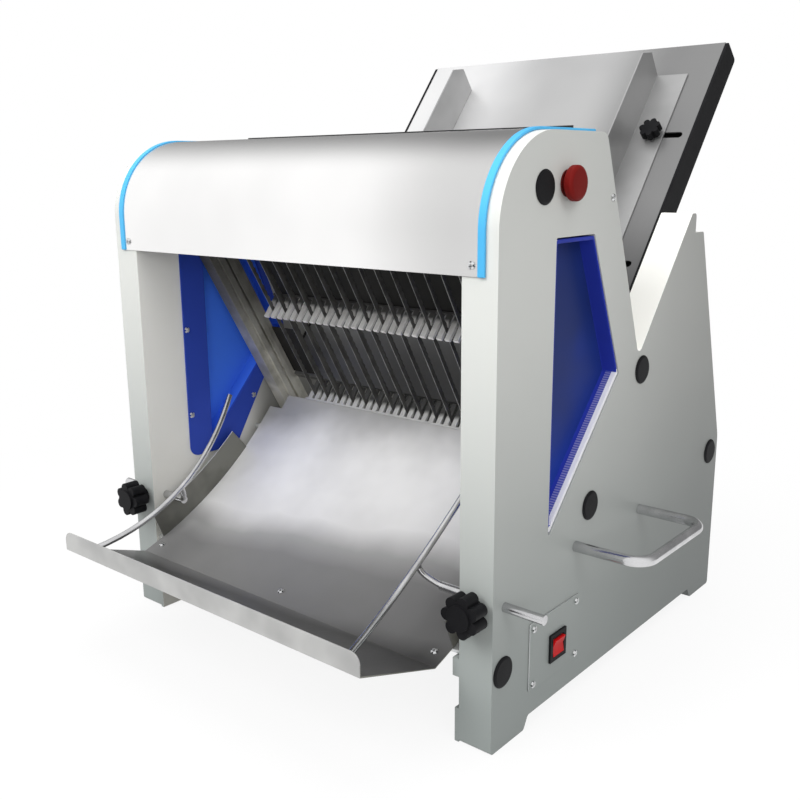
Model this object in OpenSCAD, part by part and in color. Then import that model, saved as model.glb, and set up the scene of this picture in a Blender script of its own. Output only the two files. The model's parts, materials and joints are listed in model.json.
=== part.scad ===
/* [Body] */
// Width over the two side panels
body_w = 580; // [570:2:610]
// Thickness of a side panel
panel_t = 40; // [36:1:46]
// Height of a side panel at the arch
panel_h = 608; // [600:1:630]
// Depth of a side panel, from the leg's front to the rear edge
panel_d = 536; // [525:1:560]
// Radius of the arch over the leg
arch_r = 90; // [70:1:95]
// Place of the arch's rear top corner, back from the leg's front
arch_top_y = 190; // [184:1:200]
// Place of the notch's lowest point, back from the leg's front
notch_y = 284; // [278:1:292]
// Height of the notch's lowest point
notch_z = 364; // [358:1:368]
// Height of the rear wing
wing_z = 519; // [500:1:530]
// Length of the flat on top of the wing
wing_top = 24; // [18:1:32]
// Height where the rear edge turns upright
knee_z = 217; // [190:1:240]
// Length of a foot along the floor
foot_l = 60; // [50:1:70]
// Height of the panel's lower edge between the feet
foot_h = 14; // [12:1:16]

/* [Window] */
// Place of the window's front edge
window_y = 98; // [96:1:102]
// Height of the window's lowest corner
window_z = 202; // [198:1:212]
// Distance from the arch's top down to the window's top edge
window_drop = 100; // [98:1:118]
// Length of the window's top edge
window_top_l = 74; // [66:1:78]
// Reach of the window's rear corner behind its front edge
window_reach = 140; // [130:1:142]
// Height of the window's rear corner
window_rear_z = 353; // [345:1:360]
// Depth of the blue dish below the outer face
dish_depth = 18; // [14:1:22]

/* [Cover and sheet] */
// Thickness of the stainless sheet
sheet_t = 1.5; // [1:0.1:2]
// Distance from the arch's top down to the cover's lower edge
cover_drop = 130; // [118:1:148]
// Distance from a panel's outer face to the edge trim
trim_inset = 13; // [10:1:16]
// Width of the edge trim
trim_w = 8; // [6:0.5:10]
// Height that the edge trim stands proud of the cover
trim_proud = 1.5; // [1:0.1:2.5]

/* [Slicing] */
// Number of blades
blade_count = 29; // [27:2:31]
// Distance from blade to blade
blade_pitch = 12; // [10:0.5:12]
// Thickness of a blade
blade_t = 0.6; // [0.4:0.1:0.8]
// Width of a blade
blade_w = 6; // [5:0.5:7]
// Lean of the blades from upright, top towards the front
blade_lean = 30; // [28:1:32]
// Slope of the loaf's path through the blades
path_a = 51.2; // [50:0.2:52.4]
// Height of the passage between the two combs, as a share of the room under the arch
comb_share = 0.384; // [0.36:0.002:0.4]
// Reach of a blade frame to each side of mid-stroke
stroke = 18; // [12:1:18]

/* [Delivery tray] */
// Gap between the tray's edge and a side panel
tray_gap = 10; // [8:1:16]
// Radius of the tray's curve
tray_r = 515; // [505:1:525]
// Slope of the curve where it leaves the bend
tray_a = 18; // [17:0.2:19]
// Length of the apron
apron_l = 115; // [100:1:130]
// Slope of the apron up to its lip
apron_a = 19.5; // [16:0.5:24]
// Height of the lip
lip_h = 22; // [16:1:28]

/* [Infeed table] */
// Length of the table along its slope
table_l = 573; // [540:1:590]
// Depth of the table's sides
table_h = 33; // [26:1:38]
// Place of the left guide, out from the middle
left_guide_x = 148; // [140:1:156]
// Place of the right guide, out from the middle
right_guide_x = 160; // [150:1:166]
// Height of a guide
guide_h = 54; // [45:1:62]
// Travel of a guide to each side
guide_travel = 30; // [20:1:30]

/* [Carry handles] */
// Distance between a handle's two ends
handle_l = 150; // [130:1:160]
// Reach of a handle from the panel
handle_reach = 81; // [65:1:90]
// Radius of the handle's bar
handle_r = 6; // [5:0.5:7]

/* [Hidden] */
$fn = 64;
cut = 1;             // overrun of every cut
seat_gap = 0.2;      // between pieces that are screwed together
run_gap = 0.05;      // round a shaft that turns or slides in a bore
slide_gap = 0.3;     // beside a flat piece that slides
half_w = body_w / 2;
inner_x = half_w - panel_t;
window_top_z = panel_h - window_drop;
cover_z = panel_h - cover_drop;

// outline of the side panels
foot_run = 8;
wing_lip = 12;
wing_step = 23;
wing_back = 12;
edge_r = 4;
knee_r = 40;
notch_r = 7;
corner_r = 12;
apex_y = notch_y + (wing_z - notch_z) / tan(path_a);
flare_t = 5;
flare_h = 38;
lug_t = 8;
lug_l = 34;
lug_h = 24;

// loaf path: the tray's curve ends where the combs and the table carry on
path_run = 68.3;
path_drop = 105.2;
path_y = notch_y - path_run;
path_z = notch_z - path_drop;
arc_y = path_y - tray_r * sin(path_a);
arc_z = path_z + tray_r * cos(path_a);
bend_y = arc_y + tray_r * sin(tray_a);
bend_z = arc_z - tray_r * cos(tray_a);
bend_lap = 0.5;
function on_arc(r, a) = [arc_y + r * sin(a), arc_z - r * cos(a)];
lip_y = bend_y - apron_l * cos(apron_a);
lip_z = bend_z + apron_l * sin(apron_a);
tray_half = inner_x - tray_gap;
neck_in = 34;
tray_neck = inner_x - neck_in;
neck_l = 22;
flange_h = 36;
flange_a0 = 21.5;
flange_a1 = 41;

// combs
comb_t = 4;
comb_root = 3;
slot_l = 30;
slot_w = 4.6;
comb_lap = 20;
comb_end = 2;
comb_rear = 3.3;
finger_n = blade_count + 1;
comb_half = finger_n * blade_pitch / 2 + comb_end;
comb_h = (panel_h - path_z) * comb_share;
blade_s = comb_root + slot_l / 2;
blade_y = path_y + blade_s * cos(path_a);
blade_z = path_z + blade_s * sin(path_a);
comb_s = blade_s + comb_h * tan(path_a - blade_lean) - slot_l / 2 - comb_root;
comb_back = comb_s + comb_root + slot_l;
comb_turn = path_a - blade_lean;
comb_reach = comb_back + comb_rear - blade_s;
comb_guard_gap = 0.4;
comb_guard_in = comb_reach * cos(comb_turn) - comb_h * sin(comb_turn) + comb_guard_gap;
comb_guard_low = comb_reach * sin(comb_turn) + comb_h * cos(comb_turn) + comb_guard_gap;

// blade frames and their rails
bar_t = 8;
bar_h = 24;
frame_gap = 4;
bar_w0 = frame_gap / 2;
bar_mid = bar_w0 + bar_t / 2;
low_bar = -60;
blade_seat = 12;
tooth_l = 9;
tooth_d = 1.2;
rail_t = 20;
rail_off = 4;
rail_half = 20;
rail_low = -90;
rail_drop = 40.7;
rail_head = 40;
bar_rest = 66;
rail_top = (panel_h - rail_drop - blade_z) / cos(blade_lean);
rail_groove_end = rail_top - rail_head;
top_bar = rail_groove_end - bar_rest;
comb_guard_drop = 4;
guard_ear_h = 105;
cheek_low = 10;
cheek_h = 80;
rail_back = 24;
rail_pad = 26;
groove_d = 15;
rail_x = inner_x - rail_off - rail_t;
groove_x = rail_x + groove_d;
side_bar_in = 4;
frame_half = groove_x - slide_gap;
comb_guard_half = rail_x - slide_gap;

// drive
throw = stroke;
shaft_r = 12;
eccentric_r = 32;
rod_ring = 9;
rod_t = 10;
rod_l = 95;
eye_r = 12;
pin_r = 6;
pin_short = 0.4;
lug_bar_t = 8;
front_rod_x = 132;
rear_rod_x = 162;
eye_free = 6;
eye_u = low_bar - stroke - throw - eye_r - eye_free;
crank_u = eye_u - rod_l;
crank_y = blade_y - crank_u * sin(blade_lean);
crank_z = blade_z + crank_u * cos(blade_lean);
rear_gap = 6;
rear_face = panel_d - rear_gap;
rear_in = rear_face - sheet_t;
drive_room = rear_in - crank_y;
motor_share = 0.275;
reach_share = 0.67;
wheel_share = 0.295;
bearing_r = 30;
bearing_t = 20;
pulley_in = 55;
pulley_x = inner_x - pulley_in;
pulley_t = 18;
crank_pulley_r = drive_room * wheel_share;
motor_pulley_r = 22;
rim = 4;
belt_t = 8;
belt_w = 5.2;
belt_slope = 2;
base_z = 16;
base_t = 3;
base_y = 150;
motor_r = drive_room * motor_share;
motor_foot = 8;
motor_y = crank_y + drive_room * reach_share;
motor_z = base_z + base_t + motor_foot + motor_r;
motor_l = 240;
motor_in = 45;
motor_x1 = pulley_x - motor_in;
motor_x0 = motor_x1 - motor_l;
motor_shaft_r = 9;
motor_bore_l = 30;
fan_l = 46;
fan_gap = 4;
foot_pad_w = motor_r * 5 / 3;
foot_pad_l = 40;
box_l = motor_r * 4 / 3;
box_h = 28;
rear_top_z = 212;
vent_l = 46;
vent_h = 5;
vent_n = 6;
vent_step = 16;
vent_z = 70;
gland_r = 9;
gland_bore = 4.5;
gland_nut_r = 12;
gland_l = 16;
gland_in = 60;
gland_x = inner_x - gland_in;
gland_z = 48;

// bolts behind the hole plugs: places on the panels
tray_rod_r = 4;
plug_top_in = 18.3;
plug_top_side = 9.1;
plug_top_u = rail_top - plug_top_in;
plug_top = [blade_y + plug_top_side * cos(blade_lean) - plug_top_u * sin(blade_lean),
    blade_z + plug_top_side * sin(blade_lean) + plug_top_u * cos(blade_lean)];
plug_table_in = 10;
plug_table_drop = 16;
plug_table = [notch_y + plug_table_in, notch_z - plug_table_drop];
rod_turn = 45.2;
rod_away = tray_r + sheet_t + tray_rod_r + seat_gap;
plug_tray = on_arc(rod_away, rod_turn);
plug_rear_in = 26;
plug_rear_z = 200;
plug_rear = [panel_d - plug_rear_in, plug_rear_z];
plug_foot = [18.5, 85.4];
plugs = [plug_top, plug_table, plug_tray, plug_rear, plug_foot];
plug_r = 16.5;
plug_hole_r = 14;
plug_depth = 8;
plug_rim = 1;
plug_dome = 2.5;
bolt_pocket = 20;
bolt_r = 4;
bolt_head_r = 7;
bolt_head_h = 5;
bolt_bite = 22;
tie_r = 8;

// slice rods and their clamps
stem_y = 20;
stem_z = 155;
stem_r = 5;
stem_out = 46;
stem_in = 38;
slice_r = 3.5;
slice_front_in = 41.4;
slice_mid_in = 56;
slice_rear_in = 38;
slice_bow_in = 58;
slice_front = [inner_x - slice_front_in, -120, 131.6];
slice_mid = [inner_x - slice_mid_in, 3.5, 180];
slice_rear = [inner_x - slice_rear_in, 105, 280];
slice_bow = [inner_x - slice_bow_in, 8, 166];
slice_steps = 16;
bow_steps = 6;
star_r = 22;
star_h = 19;
star_lobes = 7;
star_lobe_r = 6.5;
star_neck_r = 10;
star_neck = 9;
star_hub_r = 13;
star_hub = 3;

// infeed guides
edge_t = 3.8;
edge_proud = 1;
comb_gap = 2;
table_s = comb_root + slot_l + comb_gap;
table_end = table_s + table_l;
table_gap = 6.2;
table_half = inner_x - edge_t - table_gap;
table_sheet = 2;
table_corner = 12;
table_lip = 9;
guide_t = 2;
guide_foot = 45;
guide_s0 = 120;
guide_s1 = 565;
guide_chamfer = 18;
stud_off = 30;
upper_slot_s = 455;
lower_slot_s = 256;
stud_r = 4;
stud_l = 14;
table_slot_w = 9;
guide_knob_r = 14;
guide_knob_h = 15;
guide_knob_lobes = 7;
guide_knob_lobe_r = 4;
guide_knob_neck_r = 8;
guide_knob_neck = 4;
nut_w = 20;
nut_h = 7;

// guard behind the cover, down to the loaf's path
guard_rise = 6;
guard_lip = 8;
guard_in = 6;
guard_drop = 112;
guard_low_z = panel_h - guard_drop;

// switch and stop button
plate_y = 116;
plate_z = 79.5;
plate_w = 100;
plate_h = 77;
plate_t = 1.5;
plate_r = 3;
switch_y = 119.5;
switch_z = 75;
bezel_w = 32;
bezel_h = 32;
bezel_t = 2.5;
bezel_wall = 5;
switch_y0 = switch_y - bezel_w / 2;
switch_y1 = switch_y + bezel_w / 2;
switch_z0 = switch_z - bezel_h / 2;
switch_z1 = switch_z + bezel_h / 2;
bezel_deep = 18;
rocker_gap = 0.5;
rocker_tilt = 6;
rocker_high = 4.2;
rocker_low = 1.8;
rocker_deep = 6;
rocker_back = 3;
rocker_pin_r = 1.5;
rocker_pin_l = 2;
stop_back = 40;
stop_rise = 3;
stop_y = plug_top[0] + stop_back;
stop_z = plug_top[1] + stop_rise;
stop_r = 17;
stop_neck_r = 11;
stop_head = 9.5;
stop_lift = 6;
stop_deep = 16;
stop_hole = 22;
stop_round = 3;
stop_collar_r = 13;
stop_collar_t = 2;

// carry handles
handle_y = 230;
handle_z = 176;
handle_bend = 22;

// pan-head screws
screw_r = 4;
screw_h = 1.8;
screw_shank_r = 1.6;
screw_shank = 6;
screw_in = 7;
panel_screw_in = 17;
panel_screw_drop = 65;
panel_screw = [arch_top_y + panel_screw_in, panel_h - panel_screw_drop];
window_screws = [[68, 254], [68, 369.5], [178, 262]];

// window plates
plate_flange_t = 2;
flange_front = 35;
flange_low = 6;
flange_low_l = 46;
flange_side = 5;
flange_top = 8;
flange_r = 14;
window_r = 2;
dish_wall = 1.5;
dish_gap = 0.6;
dish_share = 0.985;
dish_in_share = 0.95;

// places taken from the sizes above, so the part stands on its base centre
front_y = lip_y - sheet_t;
rear_y = path_y + table_end * cos(path_a) + table_h * sin(path_a);
mid_y = (front_y + rear_y) / 2;

paint = [0.78, 0.80, 0.79];
blue = [0.11, 0.20, 0.62];
steel = [0.72, 0.73, 0.74];
dark = [0.22, 0.21, 0.19];
black = [0.06, 0.06, 0.06];
trim_blue = [0.25, 0.65, 0.90];
red = [0.62, 0.06, 0.05];
chrome = [0.86, 0.87, 0.88];

// points of an outline with each corner rounded to its own radius
function unit(v) = v / norm(v);
function turn(a) = a > 180 ? a - 360 : a < -180 ? a + 360 : a;
function corner(p, a, b, r, n) =
    let (u = unit(a - p), v = unit(b - p), half = acos(u * v) / 2,
        c = p + unit(u + v) * r / sin(half), d = r / tan(half),
        s = p + u * d - c, e = p + v * d - c,
        a0 = atan2(s[1], s[0]), sweep = turn(atan2(e[1], e[0]) - a0))
    [for (i = [0:n]) c + r * [cos(a0 + sweep * i / n), sin(a0 + sweep * i / n)]];
function rounded(pts, radii, n = 6) =
    [for (i = [0:len(pts) - 1])
        let (k = len(pts), r = is_list(radii) ? radii[i] : radii)
        each r == 0 ? [pts[i]]
            : corner(pts[i], pts[(i + k - 1) % k], pts[(i + 1) % k], r, r > corner_r ? 4 * n : n)];

// points along a smooth curve through three places, and a tube along a line of points
function bezier(a, b, c, n) =
    [for (i = [0:n]) let (t = i / n) a * pow(1 - t, 2) + b * 2 * t * (1 - t) + c * pow(t, 2)];
function through(a, m, c) = 2 * m - (a + c) / 2;
function along(p, i) = unit(p[min(i + 1, len(p) - 1)] - p[max(i - 1, 0)]);
module tube(p, r, sides = 12) {
    rings = [for (i = [0:len(p) - 1])
        let (d = along(p, i), u = unit(cross(d, [1, 0, 0])), v = cross(d, u))
        [for (k = [0:sides - 1]) p[i] + r * (u * cos(360 * k / sides) + v * sin(360 * k / sides))]];
    walls = [for (i = [0:len(p) - 2], k = [0:sides - 1])
        let (a = i * sides + k, b = i * sides + (k + 1) % sides)
        each [[a, b + sides, b], [a, a + sides, b + sides]]];
    first = [for (k = [1:sides - 2]) [0, k, k + 1]];
    z = (len(p) - 1) * sides;
    last = [for (k = [1:sides - 2]) [z, z + k + 1, z + k]];
    polyhedron([for (ring = rings) each ring], concat(walls, first, last));
}

// placing helpers: the depth axis starts at the legs' front faces
module seat() translate([0, -mid_y, 0]) children();
module flip() mirror([1, 0, 0]) children();
module both() { children(); flip() children(); }
module on_path() translate([0, path_y, path_z]) rotate([path_a, 0, 0]) children();
module on_blades() translate([0, blade_y, blade_z]) rotate([blade_lean, 0, 0]) children();
module prism(x0, x1) translate([x0, 0, 0]) rotate([90, 0, 90]) linear_extrude(x1 - x0) children();
module box(x0, x1, y0, y1, z0, z1) translate([x0, y0, z0]) cube([x1 - x0, y1 - y0, z1 - z0]);
module rod_x(r, x0, x1, at) translate([x0, at[0], at[1]]) rotate([0, 90, 0]) cylinder(r = r, h = x1 - x0);
module rod_y(r, y0, y1, x, z) translate([x, y0, z]) rotate([-90, 0, 0]) cylinder(r = r, h = y1 - y0);
module ring_part(r0, r1, a0, a1) {
    far = r1 / cos((a1 - a0) / 2) + cut;
    translate([arc_y, arc_z]) intersection() {
        difference() { circle(r1); circle(r0); }
        polygon([[0, 0], far * [sin(a0), -cos(a0)], far * [sin((a0 + a1) / 2), -cos((a0 + a1) / 2)],
            far * [sin(a1), -cos(a1)]]);
    }
}

// side panels
panel_pts = [[0, 0], [foot_l, 0], [foot_l + foot_run, foot_h], [panel_d - foot_l - foot_run, foot_h],
    [panel_d - foot_l, 0], [panel_d, 0], [panel_d, knee_z],
    [apex_y + wing_top + wing_back, wing_z - wing_step], [apex_y + wing_lip, wing_z - wing_step],
    [apex_y + wing_lip, wing_z], [apex_y, wing_z],
    [notch_y, notch_z], [arch_top_y, panel_h], [0, panel_h]];
panel_radii = [edge_r, edge_r, edge_r, edge_r, edge_r, edge_r, knee_r, edge_r, 0, edge_r, edge_r,
    notch_r, corner_r, arch_r];
window_pts = [[window_y, window_z], [window_y + window_reach, window_rear_z],
    [window_y + window_top_l, window_top_z], [window_y, window_top_z]];
module panel_blank() {
    difference() {
        prism(inner_x, half_w) polygon(rounded(panel_pts, panel_radii));
        prism(inner_x - cut, half_w + cut) polygon(rounded(window_pts, window_r));
        for (p = plugs) rod_x(plug_hole_r, half_w - bolt_pocket, half_w + cut, p);
        for (p = [plug_top, plug_table, plug_rear]) rod_x(bolt_r + seat_gap, inner_x - cut, half_w, p);
        rod_x(tray_rod_r + seat_gap, inner_x - cut, half_w, plug_tray);
        rod_x(stem_r + run_gap, inner_x - cut, half_w + cut, [stem_y, stem_z]);
        rod_y(bolt_r + run_gap, -cut, stem_y, inner_x + panel_t / 2, stem_z);
    }
    box(inner_x - flare_t, inner_x, 0, foot_l, 0, flare_h);
    box(inner_x - lug_t, inner_x, 0, lug_l, plug_foot[1] - lug_h / 2, plug_foot[1] + lug_h / 3);
}
module left_side_panel() color(paint) seat() flip() panel_blank();
module right_side_panel() color(paint) seat() difference() {
    panel_blank();
    rod_x(stop_neck_r + run_gap, half_w - stop_hole, half_w + cut, [stop_y, stop_z]);
    box(half_w - bezel_deep - cut, half_w + cut, switch_y0 + bezel_t, switch_y1 - bezel_t,
        switch_z0 + bezel_t, switch_z1 - bezel_t);
}

// blue plates: a flange on the inner face, a lining in the window and a floor across it
module window_plate() {
    x0 = inner_x - plate_flange_t;
    x1 = half_w - dish_depth;
    low = window_z - flange_low;
    flange = [[window_y - flange_front, low], [window_y + flange_low_l, low],
        [window_y + window_reach + flange_side, window_rear_z],
        [window_y + window_top_l + flange_side, window_top_z + flange_top],
        [window_y - flange_front, window_top_z + flange_top]];
    c = (window_pts[0] + window_pts[1] + window_pts[2] + window_pts[3]) / 4;
    outer = [for (p = window_pts) c + (p - c) * dish_share];
    inner = [for (p = window_pts) c + (p - c) * dish_in_share];
    difference() {
        union() {
            prism(x0, inner_x) polygon(rounded(flange, flange_r));
            prism(inner_x - cut, half_w - dish_gap) polygon(rounded(outer, window_r));
        }
        prism(x0 - cut, x1 - dish_wall) polygon(rounded(inner, window_r));
        prism(x1, half_w) polygon(rounded(inner, window_r));
    }
}
module left_window_panel() color(blue) seat() flip() window_plate();
module right_window_panel() color(blue) seat() window_plate();

// cover over the arch, its edge trims, and the guard behind the blades
module over_arch(t0, t1, z0) {
    translate([0, z0]) translate([-t1, 0]) square([t1 - t0, panel_h - arch_r - z0]);
    intersection() {
        translate([arch_r, panel_h - arch_r]) difference() { circle(arch_r + t1); circle(arch_r + t0); }
        translate([-t1 - cut, panel_h - arch_r]) square([arch_r + t1 + cut, arch_r + t1 + cut]);
    }
    translate([arch_r, panel_h + t0]) square([arch_top_y - arch_r, t1 - t0]);
}
cover_half = half_w - trim_inset - trim_w;
module top_cover() color(steel) seat()
    prism(-cover_half, cover_half) over_arch(seat_gap, seat_gap + sheet_t, cover_z);
module cover_trim()
    prism(cover_half, cover_half + trim_w) over_arch(seat_gap, seat_gap + sheet_t + trim_proud, cover_z);
module left_cover_trim() color(trim_blue) seat() flip() cover_trim();
module right_cover_trim() color(trim_blue) seat() cover_trim();
module infeed_guard() color(steel) seat() prism(-inner_x, inner_x) {
    top_y = arch_top_y + seat_gap;
    top_z = panel_h + guard_rise;
    slope = (notch_y - arch_top_y) / (panel_h - notch_z);
    low_y = top_y + (panel_h - guard_low_z) * slope - guard_in;
    polygon([[top_y, top_z], [top_y, panel_h - guard_lip], [low_y - guard_lip, guard_low_z],
        [low_y - guard_lip, guard_low_z - sheet_t], [low_y + sheet_t, guard_low_z - sheet_t],
        [top_y + sheet_t, panel_h - guard_lip], [top_y + sheet_t, top_z]]);
}

// delivery tray, its supports and the combs
module delivery_tray() color(steel) seat() {
    difference() {
        prism(-tray_half, tray_half) {
            ring_part(tray_r, tray_r + sheet_t, tray_a, path_a);
            polygon([[bend_y, bend_z], [lip_y, lip_z], [lip_y, lip_z + lip_h],
                [lip_y - sheet_t, lip_z + lip_h],
                [lip_y - sheet_t, lip_z - sheet_t / cos(apron_a)],
                on_arc(tray_r + sheet_t, tray_a), on_arc(tray_r + sheet_t / 2, tray_a + bend_lap)]);
        }
        both() on_path() box(tray_neck, tray_half + cut, -neck_l, cut, -neck_l, neck_l);
    }
    both() prism(tray_half - sheet_t, tray_half)
        ring_part(tray_r - flange_h, tray_r + sheet_t / 2, flange_a0, flange_a1);
}
cross_t = 5;
cross_in = 4;
cross_turn = 0.4;
cross_step = 3;
cross_lap = 2.8;
cross_a0 = tray_a + cross_turn;
cross_a1 = cross_a0 + cross_step;
cross_a2 = cross_a1 + cross_lap;
screw_turn = 2;
screw_a = tray_a + screw_turn;
module tray_cross_bar() color(steel) seat() {
    prism(cross_in - tray_half, tray_half - cross_in)
        ring_part(tray_r + sheet_t + seat_gap, tray_r + sheet_t + cross_t, cross_a0, cross_a2);
    prism(-inner_x, inner_x)
        ring_part(tray_r + sheet_t + seat_gap, tray_r + sheet_t + cross_t, cross_a1, cross_a2);
}
module tray_support_rod() color(steel) seat()
    rod_x(tray_rod_r, -half_w + bolt_pocket - bolt_head_h, half_w - bolt_pocket + bolt_head_h, plug_tray);
module fingers(s0, l, h) for (i = [0:finger_n - 1])
    translate([(i - (finger_n - 1) / 2) * blade_pitch, s0, h])
        translate([-(blade_pitch - slot_w) / 2, 0, 0]) cube([blade_pitch - slot_w, l, comb_t]);
module lower_comb() color(steel) seat() on_path() {
    box(-comb_half, comb_half, -comb_lap, comb_root, -comb_t - sheet_t, -sheet_t - seat_gap);
    box(-comb_half, comb_half, seat_gap, comb_root, -comb_t, 0);
    fingers(comb_root, slot_l, -comb_t);
}
module upper_comb() color(steel) seat() on_path() {
    fingers(comb_s, comb_root + slot_l, comb_h);
    box(-comb_half, comb_half, comb_back, comb_back + comb_rear, comb_h, comb_h + comb_t);
}
module comb_guard() color(dark) seat() on_blades() {
    back = comb_guard_in + sheet_t;
    top = rail_top - comb_guard_drop;
    box(-comb_half, comb_half, comb_guard_in, back, comb_guard_low, top);
    box(-comb_guard_half, comb_guard_half, comb_guard_in, back, top - guard_ear_h, top);
    both() box(comb_half, comb_guard_half, comb_guard_in, back, cheek_low, cheek_low + cheek_h);
}

// infeed table and its black side edges
module table_cuts() {
    both() box(rail_x - slide_gap, inner_x, table_s - cut, table_s + table_corner,
        -table_h - cut, edge_proud + cut);
}
module guide_slot(x, s) {
    reach = guide_travel + stud_r + cut;
    for (e = [-1, 1]) translate([x + e * reach, s, -table_sheet - cut])
        cylinder(r = table_slot_w / 2, h = table_sheet + cut * 2);
    box(x - reach, x + reach, s - table_slot_w / 2, s + table_slot_w / 2, -table_sheet - cut, cut);
}
module infeed_table() color(steel) seat() on_path() difference() {
    box(-table_half, table_half, table_s, table_end, -table_h, 0);
    box(-table_half + table_sheet, table_half - table_sheet, table_s + table_sheet, table_end - table_sheet,
        -table_h - cut, -table_sheet);
    box(-table_half - cut, table_half + cut, table_s - cut, table_s + table_sheet + cut,
        -table_h - cut, -table_lip);
    table_cuts();
    for (s = [upper_slot_s, lower_slot_s]) {
        guide_slot(right_guide_x + stud_off, s);
        guide_slot(-left_guide_x - stud_off, s);
    }
    both() on_table_bolt() cylinder(r = bolt_r + seat_gap, h = panel_t);
}
// axis of the bolt that holds the table, seen from the path
bolt_at = [(plug_table[0] - path_y) * cos(path_a) + (plug_table[1] - path_z) * sin(path_a),
    (plug_table[1] - path_z) * cos(path_a) - (plug_table[0] - path_y) * sin(path_a)];
module on_table_bolt()
    translate([table_half - bolt_bite, bolt_at[0], bolt_at[1]]) rotate([0, 90, 0]) children();
module table_edge() on_path() difference() {
    translate([table_half, 0, 0]) rotate([90, 0, 90]) linear_extrude(edge_t)
        polygon(rounded([[table_s + table_corner, -table_h], [table_end, -table_h], [table_end, edge_proud],
            [table_s + table_corner, edge_proud]], edge_r));
    on_table_bolt() cylinder(r = bolt_r + seat_gap, h = panel_t);
}
module left_table_edge() color(black) seat() flip() table_edge();
module right_table_edge() color(black) seat() table_edge();

// sliding guides on the table, with their clamp knobs and nuts
module infeed_guide(x) on_path() {
    difference() {
        union() {
            translate([x, 0, 0]) rotate([90, 0, 90]) linear_extrude(guide_t)
                polygon([[guide_s0, seat_gap], [guide_s1 - guide_chamfer / 2, seat_gap],
                    [guide_s1, guide_h - guide_chamfer],
                    [guide_s1 - guide_chamfer, guide_h], [guide_s0, guide_h]]);
            box(x, x + guide_foot, guide_s0, guide_s1 - guide_chamfer / 2, seat_gap, seat_gap + guide_t);
        }
        translate([x + stud_off, upper_slot_s, -cut]) cylinder(r = stud_r + run_gap, h = guide_t + cut * 2);
    }
    translate([x + stud_off, lower_slot_s, -table_sheet - guide_t])
        cylinder(r = stud_r, h = table_sheet + guide_t * 2 + seat_gap);
}
module left_infeed_guide() color(steel) seat() flip() infeed_guide(left_guide_x);
module right_infeed_guide() color(steel) seat() infeed_guide(right_guide_x);
module lobed(r, lobe_r, n, h) linear_extrude(h) {
    circle(r - lobe_r);
    for (i = [0:n - 1]) rotate(360 * i / n + 180 / n) translate([r - lobe_r, 0]) circle(lobe_r);
}
module guide_knob(x) on_path() translate([x + stud_off, upper_slot_s, seat_gap * 2 + guide_t]) {
    cylinder(r = guide_knob_neck_r, h = guide_knob_neck);
    translate([0, 0, guide_knob_neck])
        lobed(guide_knob_r, guide_knob_lobe_r, guide_knob_lobes, guide_knob_h - guide_knob_neck);
    translate([0, 0, -stud_l]) cylinder(r = stud_r, h = stud_l + cut);
}
module left_guide_knob() color(black) seat() flip() guide_knob(left_guide_x);
module right_guide_knob() color(black) seat() guide_knob(right_guide_x);
module guide_nut(x) on_path() difference() {
    translate([x + stud_off - nut_w / 2, upper_slot_s - nut_w / 2, -table_sheet - slide_gap - nut_h])
        cube([nut_w, nut_w, nut_h]);
    translate([x + stud_off, upper_slot_s, -table_sheet - nut_h - cut])
        cylinder(r = stud_r + run_gap, h = nut_h + cut);
}
module left_guide_nut() color(steel) seat() flip() guide_nut(left_guide_x);
module right_guide_nut() color(steel) seat() guide_nut(right_guide_x);

// rods beside the sliced loaf, on stems that the star knobs clamp
module slice_rod() {
    stem_end = [inner_x - stem_in + stem_r, stem_y, stem_z];
    bend = through(slice_front, slice_mid, slice_rear);
    rod_x(stem_r, inner_x - stem_in, half_w + stem_out, [stem_y, stem_z]);
    tube(bezier(slice_front, bend, slice_rear, slice_steps), slice_r);
    tube(bezier(stem_end, slice_bow, slice_mid, bow_steps), slice_r);
}
module left_slice_rod() color(chrome) seat() flip() slice_rod();
module right_slice_rod() color(chrome) seat() slice_rod();
module star_knob() translate([inner_x + panel_t / 2, -seat_gap, stem_z]) rotate([90, 0, 0]) {
    tip = stem_y - stem_r - slide_gap;
    head = star_neck + star_h;
    rotate_extrude() polygon([[0, -tip], [bolt_r, -tip], [bolt_r, 0], [star_neck_r, 0],
        [star_neck_r, star_neck + cut], [star_neck_r, head], [star_hub_r, head],
        [star_hub_r, head + star_hub], [0, head + star_hub]]);
    translate([0, 0, star_neck]) lobed(star_r, star_lobe_r, star_lobes, star_h);
}
module left_star_knob() color(black) seat() flip() star_knob();
module right_star_knob() color(black) seat() star_knob();

// blade frames: two upright bars in the rails, two cross bars, and arms down to the drive
module blade_frame(side, rod_x0) {
    w0 = side > 0 ? bar_w0 : -bar_w0 - bar_t;
    difference() {
        union() {
            for (u = [low_bar, top_bar]) box(-frame_half, frame_half, w0, w0 + bar_t, u, u + bar_h);
            both() box(rail_x - side_bar_in, frame_half, w0, w0 + bar_t, low_bar, top_bar + bar_h);
        }
        for (i = [0:blade_count - 1]) if ((i % 2 == 0) == (side < 0))
            translate([(i - (blade_count - 1) / 2) * blade_pitch - blade_t / 2 - seat_gap, w0 - cut, 0]) {
                translate([0, 0, low_bar + bar_h - blade_seat])
                    cube([blade_t + seat_gap * 2, bar_t + cut * 2, blade_seat + cut]);
                translate([0, 0, top_bar - cut])
                    cube([blade_t + seat_gap * 2, bar_t + cut * 2, blade_seat + cut]);
            }
    }
    both() box(rod_x0 - pin_r - lug_bar_t, rod_x0 - pin_r, w0, w0 + bar_t, eye_u - eye_r, low_bar);
    both() translate([rod_x0 - pin_r - cut, w0 + bar_t / 2, eye_u]) rotate([0, 90, 0])
        cylinder(r = pin_r, h = pin_r - pin_short + cut);
}
module front_blade_frame() color(dark) seat() on_blades() blade_frame(-1, front_rod_x);
module rear_blade_frame() color(dark) seat() on_blades() blade_frame(1, rear_rod_x);
blade_low = low_bar + bar_h - blade_seat + seat_gap;
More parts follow.
